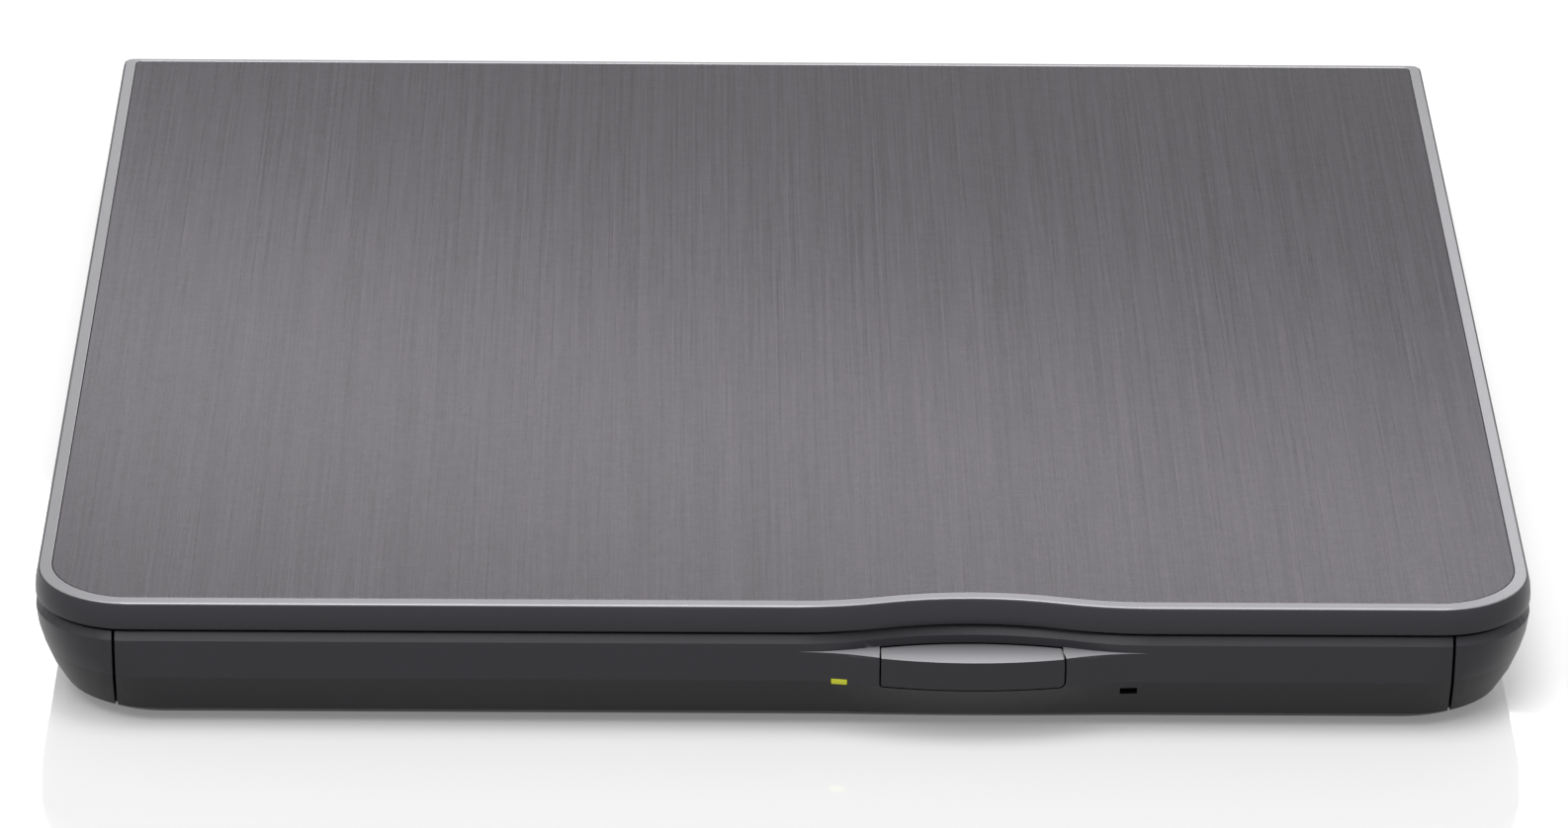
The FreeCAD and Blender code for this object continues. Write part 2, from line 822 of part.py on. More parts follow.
def make_rail_guide(side):
    start, end = rail_ends()
    outer = chassis_half_in
    guide = box(rail_inner + rail_gap * 3, outer, start - 1, end + 1, z_pan, z_guide_top)
    channel = box(0, outer - guide_web, start - 2, end + 2, z_pan + guide_lip, z_guide_top - guide_lip)
    guide = guide.cut(channel)
    return guide if side > 0 else guide.mirror(V(0, 0, 0), V(1, 0, 0))


def make_rail(side):
    start, end = rail_ends()
    rail = box(rail_inner, rail_outer, start, end, z_rail, z_rail + rail_height)
    z_low = z_rail + rail_sheet
    z_high = z_rail + rail_height - rail_sheet
    rail = rail.cut(box(0, rail_web, start - 1, end + 1, z_low, z_high))
    return rail if side > 0 else rail.mirror(V(0, 0, 0), V(1, 0, 0))


def tray_plan(half, inset, z0, z1):
    """The tray seen from above: a rectangle whose rear left corner follows the disc."""
    plan = box(inset - half, half - inset, y_bezel + inset, y_tray - inset, z0, z1)
    keep = cylinder(0, y_disc, z0, z1, recess_radius + tray_wall - inset)
    keep = keep.fuse(box(inset + tray_cut_x, case_half, y_front, y_rear, z0, z1))
    keep = keep.fuse(box(-case_half, case_half, y_front, y_disc + tray_cut_y - inset, z0, z1))
    return plan.common(keep)


def placed(shape):
    """Turns a shape from the traverse unit's own u and v to its place in the tray."""
    shape.rotate(V(0, 0, 0), V(0, 0, 1), traverse_angle)
    shape.translate(V(0, y_disc, 0))
    return shape


def traverse_plan(grow, z0, z1):
    half = traverse_half + grow
    plan = rounded_box(-traverse_back - grow, traverse_front + grow, -half, half, z0, z1, traverse_corner)
    room = tray_plan(body_half, tray_wall + traverse_gap - grow, z0, z1)
    return placed(plan).common(room)


def damper_places():
    side = traverse_half + damper_reach
    return [(-traverse_back - damper_reach, 0), (damper_u, side), (damper_u, -side)]


def on_tray(u, v):
    angle = math.radians(traverse_angle)
    return (u * math.cos(angle) - v * math.sin(angle), y_disc + u * math.sin(angle) + v * math.cos(angle))


def make_disc_tray():
    deck = tray_plan(tray_half, 0, z_deck, z_rim)
    deck = deck.cut(cylinder(0, y_disc, z_recess, z_rim + 1, recess_radius))
    for turn in (315, 45):
        angle = math.radians(turn)
        x = recess_radius * math.cos(angle)
        y = y_disc + recess_radius * math.sin(angle)
        deck = deck.cut(cylinder(x, y, z_recess, z_rim + 1, finger_radius))
    hollow = tray_plan(body_half, tray_wall, z_deck, z_recess - rim_roof / 4)
    hollow = hollow.cut(cylinder(0, y_disc, z_deck, z_recess, recess_radius + tray_wall))
    deck = deck.cut(hollow)
    deck = deck.cut(traverse_plan(traverse_gap, z_deck - 1, z_recess + rim_roof / 4))
    skirt = tray_plan(body_half, 0, z_tray, z_deck).cut(tray_plan(body_half, tray_wall, z_tray - 1, z_deck + 1))
    pieces = [deck, skirt]
    start, end = rail_ends()
    z_high = z_tongue + tongue_thickness
    pieces.append(box(body_half - tray_wall, tongue_half, start, end - 1, z_tongue, z_high))
    pieces.append(box(-tongue_half, tray_wall - body_half, start, y_disc + tray_cut_y, z_tongue, z_high))
    for u, v in damper_places():
        x, y = on_tray(u, v)
        pieces.append(cylinder(x, y, damper_top(), z_deck, damper_screw_radius * 2))
    for x, y in board_screw_places():
        pieces.append(cylinder(x, y, z_board_top, z_deck, damper_screw_radius * 2.6))
    pieces.append(cylinder(pivot_x, y_bezel + pivot_back, z_tray + lever_lift / 2, z_deck, pivot_radius))
    y_inside = y_tray - tray_wall / 2
    pieces.append(box(flex_left, flex_left + flex_width, clamp_front(), y_inside, z_tray_sheet, z_tray))
    left, right = ejector_walls()
    y_stop = ejector_front() - tray_wall
    for x in (left, right):
        pieces.append(box(x, x + tray_wall / 2, y_stop, y_inside, z_tray, z_deck))
    pieces.append(box(left, right + tray_wall / 2, y_stop, ejector_front(), z_tray, z_deck))
    tray = join(pieces)
    for u, v in damper_places():
        x, y = on_tray(u, v)
        tray = tray.cut(cylinder(x, y, damper_top(), z_deck, damper_screw_radius + thread_fit))
    for x, y in board_screw_places():
        tray = tray.cut(cylinder(x, y, z_board_top, z_deck, damper_screw_radius + thread_fit))
    tray = tray.cut(stem(stem_fit, y_bezel - 1, y_tray_front + 0.1))
    tray = tray.cut(light_pipe(light_fit))
    tray = tray.cut(release_hole())
    tray = tray.cut(pin_lane(y_disc, z_pan + pin_height + 0.4))
    x = body_half - ejector_inset
    tray = tray.cut(rod(y_tray - tray_wall * 2, y_tray + 1, x, z_ejector(), ejector_spring_radius + 0.2))
    return tray.removeSplitter()


def pin_lane(y0, z1):
    """The way that the lock pin takes through the tray as it opens."""
    return box(lane_x - lane_width / 2, lane_x + lane_width / 2, y0, y_tray + 1, 0, z1)


def make_tray_bottom_cover():
    cover = tray_plan(body_half, tray_wall / 4, z_tray_sheet, z_tray)
    cover = cover.common(box(-case_half, case_half, y_front, y_tray - bottom_cover_back, 0, z_top))
    return cover.cut(pin_lane(lock_pin_y() - lane_width / 2, z_top)).removeSplitter()


def damper_top():
    return damper_bottom() + 2 * damper_flange + ear_thickness


def damper_bottom():
    return z_frame - damper_flange / 4


def make_traverse_frame():
    z0, z1 = z_frame, z_frame_top
    half = traverse_half - traverse_gap
    u0 = carriage_window_start
    u1 = carriage_window_end
    window = box(u0, u1, main_shaft_v - bearing_block - 0.4, half - frame_far_side, z0 - 1, z1 + 1)
    window = window.fuse(cylinder(0, 0, z0 - 1, z1 + 1, rotor_radius + rotor_gap))
    pocket = sled_motor_radius + traverse_gap
    window = window.fuse(box(motor_end() - traverse_gap, 0, lead_screw_v - pocket, lead_screw_v + pocket,
                             z0 - 1, z1 + 1))
    slot = lead_screw_radius + screw_gap
    window = window.fuse(box(-1, lead_screw_end + slot, lead_screw_v - slot, lead_screw_v + slot,
                             z0 - 1, z1 + 1))
    for v in (main_shaft_v, sub_shaft_v):
        window = window.fuse(axle(u0 - shaft_bed, u1 + 2, v, z_shaft, shaft_radius))
        window = window.fuse(box(u0 - shaft_bed, u1 + 2, v - shaft_radius, v + shaft_radius, z_shaft, z1 + 1))
    frame = traverse_plan(-traverse_gap, z0, z1).cut(placed(window))
    z_ear = damper_bottom() + damper_flange
    for u, v in damper_places():
        x, y = on_tray(u, v)
        frame = frame.fuse(cylinder(x, y, z_ear, z_ear + ear_thickness, ear_radius))
        frame = frame.fuse(ear_bridge(u, v, z_ear))
        frame = frame.cut(cylinder(x, y, z0 - 1, z1 + 1, damper_waist))
    return frame.removeSplitter()


def ear_bridge(u, v, z):
    """The web that joins a damper's ear to the side of the frame."""
    half = ear_radius
    reach = damper_reach + traverse_gap + frame_side / 2
    if v == 0:
        web = box(u, u + reach, -half, half, z, z + ear_thickness)
    elif v > 0:
        web = box(u - half, u + half, v - reach, v, z, z + ear_thickness)
    else:
        web = box(u - half, u + half, v, v + reach, z, z + ear_thickness)
    return placed(web)


def make_traverse_cover():
    cover = traverse_plan(0, z_cover, z_cover_top)
    slot = box(carriage_window_start, carriage_window_end - 0.3, -actuator_half - slot_side_gap,
               actuator_half + slot_side_gap, z_cover - 1, z_cover_top + 1)
    slot = slot.fuse(cylinder(0, 0, z_cover - 1, z_cover_top + 1, platform_radius + rotor_gap))
    cover = cover.cut(placed(slot))
    for u in (carriage_window_start, damper_u + ear_radius + 3):
        for v in (-traverse_half + traverse_gap + 0.1, traverse_half - traverse_gap - 0.1 - sheet):
            cover = cover.fuse(placed(box(u, u + 3, v, v + sheet, z_frame_top, z_cover)))
    return cover.removeSplitter()


def make_dampers():
    z0 = damper_bottom()
    z1 = z0 + damper_flange
    z2 = z1 + ear_thickness
    dampers = []
    for u, v in damper_places():
        x, y = on_tray(u, v)
        damper = join([cylinder(x, y, z0, z1, damper_radius), cylinder(x, y, z1, z2, damper_waist),
                       cylinder(x, y, z2, z2 + damper_flange, damper_radius)])
        dampers.append(damper.cut(cylinder(x, y, z0, z2 + damper_flange, damper_screw_radius)))
    return Part.makeCompound(dampers)


def make_damper_screws():
    head = 0.5
    z0 = damper_bottom() - head
    screws = [screw(*on_tray(u, v), z0, z_deck - 0.2, damper_screw_radius, damper_radius * 0.8, head)
              for u, v in damper_places()]
    return Part.makeCompound(screws)


def make_shaft(v):
    return placed(axle(carriage_window_start - shaft_bed, carriage_window_end + 2, v, z_shaft, shaft_radius))


def make_spindle_base():
    plate = cylinder(0, 0, z_spindle_plate, z_frame, spindle_plate_radius)
    far = spindle_plate_radius + 1
    plate = plate.common(box(-far, far, lead_screw_v + sled_motor_radius + 0.3, far, 0, z_top))
    post = cylinder(0, 0, z_frame, bearing_top(), bearing_radius)
    bore = cylinder(0, 0, z_frame, bearing_top() + 1, shaft_radius + shaft_fit)
    return placed(join([plate, post]).cut(bore))


def bearing_top():
    return z_rotor_top - rotor_top - stator_gap


def make_stator():
    outer = rotor_radius - rotor_wall - stator_gap
    z1 = bearing_top() - 0.3
    core = tube(0, 0, z_frame, z1, outer * 0.45, bearing_radius)
    arms = [core]
    count = 9
    for i in range(count):
        arm = box(outer * 0.4, outer, -1.0, 1.0, z_frame + 0.3, z1 - 0.3)
        arm.rotate(V(0, 0, 0), V(0, 0, 1), 360 / count * i)
        arms.append(arm)
    return placed(join(arms).common(cylinder(0, 0, 0, z_top, outer)))


def make_rotor():
    z0 = z_frame + stator_gap
    cup = tube(0, y_disc, z0, z_rotor_top, rotor_radius, rotor_radius - rotor_wall)
    top = cylinder(0, y_disc, z_rotor_top - rotor_top, z_rotor_top, rotor_radius)
    shaft = cylinder(0, y_disc, z_frame + 0.1, z_rotor_top, shaft_radius)
    return join([cup, top, shaft])


def claw_turns():
    return [90 + 360 / claw_count * i for i in range(claw_count)]


def make_turntable():
    platform = cylinder(0, 0, z_rotor_top, z_ring, platform_radius)
    collar = platform_radius - friction_ring_width - friction_ring_edge - 0.8
    platform = platform.fuse(cylinder(0, 0, z_ring, z_disc, collar))
    hub = cylinder(0, 0, z_disc, z_hub, hub_radius)
    top = [edge for edge in hub.Edges if edge.BoundBox.ZMin > z_hub - 0.01]
    table = platform.fuse(hub.makeChamfer(hub_chamfer, top))
    for turn in claw_turns():
        half = claw_width / 2 + claw_fit
        inner = hub_radius - claw_length - claw_retract - claw_fit
        slot = box(inner, hub_radius + 1, -half, half, z_disc + claw_seat, z_hub + 1)
        slot.rotate(V(0, 0, 0), V(0, 0, 1), turn)
        table = table.cut(slot)
    table.translate(V(0, y_disc, 0))
    return table.removeSplitter()


def make_friction_ring():
    outer = platform_radius - friction_ring_edge
    return tube(0, y_disc, z_ring, z_disc, outer, outer - friction_ring_width)


def make_claw(turn):
    z_lip = z_disc + disc_thickness
    z_low = z_disc + claw_seat + claw_fit / 4
    radius = disc_hole_radius - claw_reach
    tip = disc_hole_radius + claw_reach
    inner = hub_radius - claw_length
    points = [(inner, z_low), (radius, z_low), (radius, z_lip), (tip, z_lip + 0.1),
              (radius + 0.1, z_hub - 0.02), (inner, z_hub - 0.02)]
    claw = upright(polygon(points), -claw_width / 2, claw_width / 2)
    claw.rotate(V(0, 0, 0), V(0, 0, 1), turn)
    claw.translate(V(0, y_disc, 0))
    return claw


def carriage_ends():
    return lens_start - carriage_behind, lens_start + carriage_ahead


def make_pickup_carriage():
    u0, u1 = carriage_ends()
    block = main_shaft_v - bearing_block
    z_block = z_lead + lead_screw_radius + follower_gap
    near = main_shaft_v + bearing_block
    far = sub_shaft_v - bearing_block
    body = box(u0, u1, near, far, z_carriage, z_carriage_top)
    bearing = box(u0, u1, block, near, z_carriage, z_block)
    bearing = bearing.cut(axle(u0 - 1, u1 + 1, main_shaft_v, z_shaft, shaft_radius + shaft_fit))
    fork = box(u0 + 3, u1 - 3, far, sub_shaft_v + shaft_radius, z_carriage, z_shaft + shaft_radius + 0.6)
    gap = shaft_radius + shaft_fit
    fork = fork.cut(box(u0, u1, sub_shaft_v - gap, sub_shaft_v + 2 * gap, z_shaft - gap, z_shaft + gap))
    well = box(lens_start - lens_radius - 1, lens_start + lens_radius + 1, -lens_radius - 1, lens_radius + 1,
               z_carriage_top - 1, z_carriage_top + 1)
    window = box(u0 + 3, u1 - 3, far - 5, far - 1.5, z_carriage - 1, z_carriage_top - 1)
    return placed(join([body, bearing, fork]).cut(well).cut(window))


def make_lens_actuator():
    z0 = z_carriage_top
    frame = rounded_box(lens_start - actuator_behind, lens_start + actuator_ahead,
                        -actuator_half, actuator_half, z0, z0 + actuator_height, 1.2)
    hole = lens_radius + 0.6
    frame = frame.cut(rounded_box(lens_start - hole, lens_start + hole, -hole, hole, z0 - 1, z0 + 2, 0.8))
    for v in (-actuator_half + 1.2, actuator_half - 3.4):
        frame = frame.cut(box(lens_start - 3.5, lens_start + 2.5, v, v + 2.2, z0 + actuator_height / 2, z0 + 2))
    return placed(frame)


def make_objective_lens():
    z0 = z_carriage_top - 1
    z1 = z_carriage_top + actuator_height
    rise = lens_proud
    sphere_radius = (lens_radius ** 2 + rise ** 2) / (2 * rise)
    dome = Part.makeSphere(sphere_radius, V(lens_start, 0, z1 + rise - sphere_radius))
    dome = dome.common(cylinder(lens_start, 0, z0, z1 + 1, lens_radius))
    half = lens_radius + 0.5
    holder = box(lens_start - half, lens_start + half, -half, half, z0, z_carriage_top)
    return placed(dome.fuse(holder).removeSplitter())


def make_screw_follower():
    u0 = follower_u
    u_end = u0 + follower_length
    z0 = z_lead + lead_screw_radius + follower_gap
    half = lead_screw_radius + follower_gap + 0.1
    far = main_shaft_v + bearing_block
    arm = box(u0, u_end, lead_screw_v - half, far, z0, z0 + 0.6)
    saddle = box(u0, u_end, lead_screw_v - half, lead_screw_v + half, z_lead + lead_screw_radius / 2, z0)
    saddle = saddle.cut(axle(u0 - 1, u_end + 1, lead_screw_v, z_lead, lead_screw_radius + follower_gap))
    return placed(join([arm, saddle]))


def bracket_plate():
    """Where the bracket's plate starts and ends, just behind the lead screw."""
    return -bracket_sheet - lead_journal, -lead_journal


def motor_end():
    return bracket_plate()[0] - sled_motor_length


def make_lead_screw():
    thread = axle(0, lead_screw_end - lead_journal, lead_screw_v, z_lead, lead_screw_radius)
    end = lead_screw_end + bracket_sheet + 0.2
    journal = axle(-sled_motor_length / 3, end, lead_screw_v, z_lead, lead_journal)
    return placed(join([thread, journal]))


def make_sled_motor():
    u1 = bracket_plate()[0]
    can = axle(motor_end(), u1, lead_screw_v, z_lead, sled_motor_radius)
    flat = box(motor_end(), u1, lead_screw_v - sled_motor_radius, lead_screw_v + sled_motor_radius,
               z_lead - sled_motor_flat, z_lead + sled_motor_flat)
    bore = axle(u1 - sled_motor_length / 2, u1 + 1, lead_screw_v, z_lead, lead_journal + shaft_fit)
    return placed(can.common(flat).cut(bore))


def make_motor_bracket():
    """A folded strip under the side of the frame that carries the motor and both ends of the lead screw."""
    u0, u1 = bracket_plate()
    half = lead_screw_radius + follower_gap + 0.1
    end = lead_screw_end + bracket_sheet
    strip = box(u0, end, traverse_gap - traverse_half, lead_screw_v + half, z_spindle_plate, z_frame)
    width = sled_motor_radius - 0.2
    plate = box(u0, u1, lead_screw_v - width, lead_screw_v + width, z_spindle_plate, z_lead + sled_motor_flat)
    z1 = z_lead + lead_screw_radius
    tab = box(lead_screw_end, end, lead_screw_v - half, lead_screw_v + half, z_frame, z1)
    bore = axle(u0 - 1, end + 1, lead_screw_v, z_lead, lead_journal + shaft_fit)
    return placed(join([strip, plate, tab]).cut(bore))


def make_main_board():
    y0 = board_y0
    y1 = board_y1
    y2 = y1 - board_tongue_depth
    right = board_right + board_tongue
    points = [(board_left, y0), (board_right, y0), (board_right, y2), (right, y2), (right, y1),
              (y1 + board_diagonal, y1), (board_left, board_left - board_diagonal)]
    board = prism(polygon(points), z_board, z_board_top)
    for x, y in board_screw_places():
        board = board.cut(cylinder(x, y, z_board, z_board_top, damper_screw_radius + screw_fit))
    return board


def board_screw_places():
    x = board_right - 3.5
    return [(x, board_y0 + 4.0), (x, board_y1 - 13.0)]


def make_board_screws():
    head = 0.5
    screws = [screw(x, y, z_board - head, z_deck - 0.2, damper_screw_radius, damper_radius * 0.6, head)
              for x, y in board_screw_places()]
    return Part.makeCompound(screws)


def make_board_chips():
    shapes = []
    for x, y, w, d in ((23, 12, 12, 12), (12.5, 26.5, 6, 7), (34, 4, 8, 5), (6, 14, 4, 10), (-1, 41, 9, 3)):
        x = board_right - x
        y = board_y0 + y
        shapes.append(box(x, x + w, y, y + d, z_board_top, z_board_top + chip_height))
    for i in range(5):
        x = board_left + chip_row_start + chip_row_pitch * i
        y = board_y0 + chip_row_start
        shapes.append(box(x, x + 1.6, y, y + 0.8, z_board_top, z_board_top + chip_height / 2))
    return Part.makeCompound(shapes)


def make_status_lamp():
    y0 = y_tray_front + board_edge * 2 + 0.1
    return box(light_x - 1, light_x + 1, y0, y0 + 1, z_board_top, z_crease + light_height / 2)


def switch_front():
    return y_tray_front + switch_gap


def make_eject_switch():
    y0 = switch_front()
    half = switch_width / 2
    body = box(wave_x - half, wave_x + half, y0, y0 + switch_depth, z_board_top, z_deck - 0.1)
    return body.cut(plunger_block(0.1, y0 - 1, y0 + 2))


def plunger_block(grow, y0, y1):
    x = plunger_width / 2 + grow
    z = plunger_height / 2 + grow
    middle = z_board_top + stem_height
    return box(wave_x - x, wave_x + x, y0, y1, middle - z, middle + z)


def make_switch_plunger():
    return plunger_block(0, y_tray_front + board_edge / 2 + 0.05, switch_front() + 1.5)


def lever_pivot():
    return pivot_x, y_bezel + pivot_back


def hook_right():
    return lane_x - lane_width / 2 - hook_gap


def make_latch_lever():
    x, y = lever_pivot()
    z0 = z_tray + lever_lift
    z1 = z0 + lever_thickness
    tip_x = hook_right()
    hook_x = tip_x - hook_tooth
    y_tip = y - hook_length
    half = hook_width / 2
    arm = box(hook_x - hook_width, hook_x, y_tip, y, z0, z1)
    tooth = box(hook_x - 1, tip_x, y_tip, y_tip + hook_tooth, z0, z1)
    tab = box(x - tab_reach, x, y - half, y + half, z0, z1)
    lever = join([cylinder(x, y, z0, z1, lever_hub), arm, tooth, tab])
    lever = lever.cut(cylinder(x, y, z0, z1, pivot_radius + 0.05))
    slot = link_pin_radius + link_gap
    return lever.cut(cylinder(x - link_arm, y, z0, z1, slot)).removeSplitter()


def make_latch_spring():
    x, y = lever_pivot()
    z0 = z_tray + lever_lift + lever_thickness + 0.1
    return tube(x, y, z0, z_deck - 0.1, lever_hub * 0.95, pivot_radius + 0.1)


def make_solenoid():
    x, y = lever_pivot()
    x -= link_arm
    y1 = y - solenoid_gap
    half = solenoid_width / 2
    body = box(x - half, x + half, y1 - solenoid_length, y1, z_tray + 0.1, z_deck - 0.2)
    return body.cut(rod(y1 - solenoid_length * 0.6, y1 + 1, x, z_link(), plunger_radius + 0.1))


def z_link():
    return z_tray + lever_lift + lever_thickness / 2


def make_solenoid_plunger():
    x, y = lever_pivot()
    x -= link_arm
    z0 = z_tray + lever_lift
    z1 = z0 + lever_thickness
    end = y - hook_width / 2 - link_gap
    shaft = rod(y - solenoid_gap - solenoid_length * 0.35, end, x, z_link(), plunger_radius)
    yoke_low = z0 - 0.35
    yoke_high = z1 + 0.35
    post = box(x - 1, x + 1, end - 0.8, end, yoke_low - 0.3, yoke_high + 0.3)
    top = box(x - 1, x + 1, end - 0.8, y + 0.8, yoke_high - 0.1, yoke_high + 0.3)
    pin = cylinder(x, y, z0 - 0.2, yoke_high, link_pin_radius)
    return join([shaft, post, top, pin])


def z_ejector():
    return (z_tray + z_deck) / 2


def ejector_walls():
    x = body_half - ejector_inset
    reach = ejector_spring_radius + 0.3
    return [x - reach - tray_wall / 2, x + reach]


def ejector_front():
    return y_pan_back - ejector_length


def make_ejector_pusher():
    x = body_half - ejector_inset
    y1 = y_pan_back - ejector_clearance
    shaft = rod(ejector_front() + 0.1, y1, x, z_ejector(), ejector_radius)
    head = rod(y1 - 4.5, y1, x, z_ejector(), ejector_spring_radius)
    return join([shaft, head])


def make_ejector_spring():
    x = body_half - ejector_inset
    y1 = y_pan_back - ejector_clearance - 4.5
    outer = rod(ejector_front() + 0.1, y1, x, z_ejector(), ejector_spring_radius)
    return outer.cut(rod(ejector_front(), y1 + 1, x, z_ejector(), ejector_radius))


def clamp_front():
    return y_tray - tray_wall - flex_width / 2


def make_flex_cable():
    """Lies on the pan, folds back under the tray and climbs a little to its clamp at the tray's rear."""
    x0 = flex_left
    x1 = flex_left + flex_width
    low = z_pan + 0.02
    high = z_tray_sheet - flex_thickness
    fold = y_bezel + flex_fold
    turn = fold + flex_thickness
    rear = y_pan_back - 0.5
    clamp = clamp_front()
    clamp_end = clamp + flex_width / 2
    points = [(rear, low), (rear, low + flex_thickness), (turn, low + flex_thickness),
              (turn, low + 1.5 * flex_thickness), (clamp, high), (clamp_end, high),
              (clamp_end, high + flex_thickness), (clamp, high + flex_thickness),
              (fold, low + 2.5 * flex_thickness), (fold, low)]
    side = Part.makePolygon([V(x0, y, z) for y, z in points + points[:1]])
    loop = Part.Face(side).extrude(V(flex_width, 0, 0))
    left = plug_right + 2
    cross_front = rear - flex_width * 0.6
    cross = box(left, x1, cross_front, rear, low, low + flex_thickness)
    riser = box(left, left + flex_thickness, cross_front, rear, low, z_rear_board)
    return join([loop, cross, riser])


def make_tray_flex():
    y0 = board_y1 - board_tongue_depth / 2
    z0 = z_tray + 0.15
    y1 = y_tray - tray_wall
    right = flex_left + flex_width
    strip = box(flex_left, right, y0, y1, z0, z0 + flex_thickness)
    foot = box(flex_left, right, clamp_front(), y1, z_tray, z0)
    pad = box(flex_left, right, y0, y0 + 2, z0, z_board)
    return join([strip, foot, pad])


def rear_board_posts():
    x = chassis_half_in - guide_web - rail_depth - 5
    y = y_pan_back - 3.0
    return [(-x, y), (-x, y - 14)]


def make_rear_board():
    left = -(rail_inner - rail_gap)
    right = plug_right + plug_board_side
    y1 = y_pan_back - 0.4
    board = box(left, right, y1 - tray_cut_y, y1, z_rear_board, z_rear_board_top)
    return board.cut(cylinder(0, y_disc, z_rear_board - 1, z_rear_board_top + 1,
                              recess_radius + tray_wall + rear_board_gap))


def make_data_plug():
    x0 = plug_right - plug_width
    z0 = z_rear_board_top
    y1 = y_chassis + plug_tongue
    z1 = z_plug_tongue
    body = box(x0, plug_right, y_chassis - plug_depth, y_chassis + lid_gap / 2, z0, z0 + plug_height)
    tongue = box(x0 + 1.5, plug_right - 1.5, y_chassis - 1, y1, z1, z1 + plug_tongue_thickness)
    return join([body, tongue])


def make_data_socket():
    x0 = plug_right - plug_width
    y0 = y_chassis + lid_gap + sheet + lid_gap
    body = box(x0, plug_right, y0, y0 + socket_depth, z_bridge_top, z_rear_board_top + plug_height)
    slot = box(x0 + 1.5 - plug_fit, plug_right - 1.5 + plug_fit, y0 - 1, y_chassis + plug_tongue + plug_fit,
               z_plug_tongue - plug_fit, z_plug_tongue + plug_tongue_thickness + plug_fit)
    return body.cut(slot)


def bridge_front():
    return y_chassis + lid_gap + sheet + lid_gap


def bridge_back():
    return y_case_back - drawn_in(z_bridge, undercut_rear) - bridge_edge


def bridge_posts():
    y = bridge_back() - bridge_post_edge
    x = bridge_half - bridge_post_edge
    return [(-x, y), (x, y)]


def make_bridge_board():
    board = box(-bridge_half, bridge_half, bridge_front(), bridge_back(), z_bridge, z_bridge_top)
    for x, y in bridge_posts():
        board = board.cut(cylinder(x, y, z_bridge, z_bridge_top, damper_screw_radius + screw_fit))
    return board


def make_bridge_screws():
    screws = []
    for x, y in bridge_posts():
        head = cylinder(x, y, z_bridge_top, z_bridge_top + 0.7, damper_radius * 0.6)
        shank = cylinder(x, y, z_floor + 0.3, z_bridge_top, damper_screw_radius)
        screws.append(join([head, shank]))
    return Part.makeCompound(screws)


def make_bridge_chips():
    y0 = bridge_front() + 2
    chips = [(-20, 7, 7, 1.0), (-6, 3.2, 5, 1.4), (4, 5, 4, 1.0), (14, 3, 3, 2.0), (20, 3, 3, 2.0)]
    z0 = z_bridge_top
    return Part.makeCompound([box(x, x + w, y0, y0 + d, z0, z0 + h) for x, w, d, h in chips])


def usb_profile(grow):
    """The socket's mouth seen from behind: narrower at its foot."""
    half = usb_width / 2 + grow
    z0 = z_bridge_top - grow
    z1 = z_bridge_top + usb_height + grow
    step = usb_height * 0.35
    corners = [(usb_x - half + 0.8, z0), (usb_x + half - 0.8, z0), (usb_x + half, z0 + step),
               (usb_x + half, z1), (usb_x - half, z1), (usb_x - half, z0 + step)]
    return rounded(corners, [0.3] * 6)


def make_usb_socket():
    mouth = y_rear - usb_recess
    shell = upright(usb_profile(0), mouth - usb_depth, mouth)
    cavity = upright(usb_profile(-usb_wall), mouth - usb_depth + 1.5, mouth + 1)
    half = usb_width / 2 - 1.5
    middle = z_bridge_top + usb_height * 0.55
    thick = usb_tongue_thickness / 2
    tongue = box(usb_x - half, usb_x + half, mouth - usb_depth + 1, mouth - 1.2, middle - thick, middle + thick)
    return shell.cut(cavity).fuse(tongue).removeSplitter()


def export(name, shape):
    shape.exportStep("parts/" + name + ".step")


os.makedirs("parts", exist_ok=True)

export("lower_case", make_lower_case())
export("upper_cover", make_upper_cover())
export("trim_ring", make_trim_ring())
export("top_plate", make_top_plate())
export("rubber_feet", make_rubber_feet())
export("case_screws", make_case_screws())

export("drive_chassis", make_drive_chassis())
export("drive_lid", make_drive_lid())
export("lock_pin", make_lock_pin())
for name, side in (("left", -1), ("right", 1)):
    export("rail_guide_" + name, make_rail_guide(side))
    export("rail_" + name, make_rail(side))

export("disc_tray", make_disc_tray())
export("tray_bottom_cover", make_tray_bottom_cover())
export("tray_bezel", make_tray_bezel())
export("eject_button", make_eject_button())
export("status_light", make_status_light())

export("traverse_frame", make_traverse_frame())
export("traverse_cover", make_traverse_cover())
export("dampers", make_dampers())
export("damper_screws", make_damper_screws())
export("main_shaft", make_shaft(main_shaft_v))
export("sub_shaft", make_shaft(sub_shaft_v))
export("spindle_base", make_spindle_base())
export("stator", make_stator())
export("rotor", make_rotor())
export("turntable", make_turntable())
export("friction_ring", make_friction_ring())
for number, turn in enumerate(claw_turns(), 1):
    export("disc_claw_%d" % number, make_claw(turn))

export("pickup_carriage", make_pickup_carriage())
export("lens_actuator", make_lens_actuator())
export("objective_lens", make_objective_lens())
export("screw_follower", make_screw_follower())
export("lead_screw", make_lead_screw())
export("sled_motor", make_sled_motor())
export("motor_bracket", make_motor_bracket())

export("main_board", make_main_board())
export("board_chips", make_board_chips())
export("board_screws", make_board_screws())
export("status_lamp", make_status_lamp())
export("eject_switch", make_eject_switch())
export("switch_plunger", make_switch_plunger())
export("latch_lever", make_latch_lever())
export("latch_spring", make_latch_spring())
export("solenoid", make_solenoid())
export("solenoid_plunger", make_solenoid_plunger())
export("ejector_pusher", make_ejector_pusher())
export("ejector_spring", make_ejector_spring())

export("flex_cable", make_flex_cable())
export("tray_flex", make_tray_flex())
export("rear_board", make_rear_board())
export("data_plug", make_data_plug())
export("data_socket", make_data_socket())
export("bridge_board", make_bridge_board())
export("bridge_screws", make_bridge_screws())
export("bridge_chips", make_bridge_chips())
export("usb_socket", make_usb_socket())
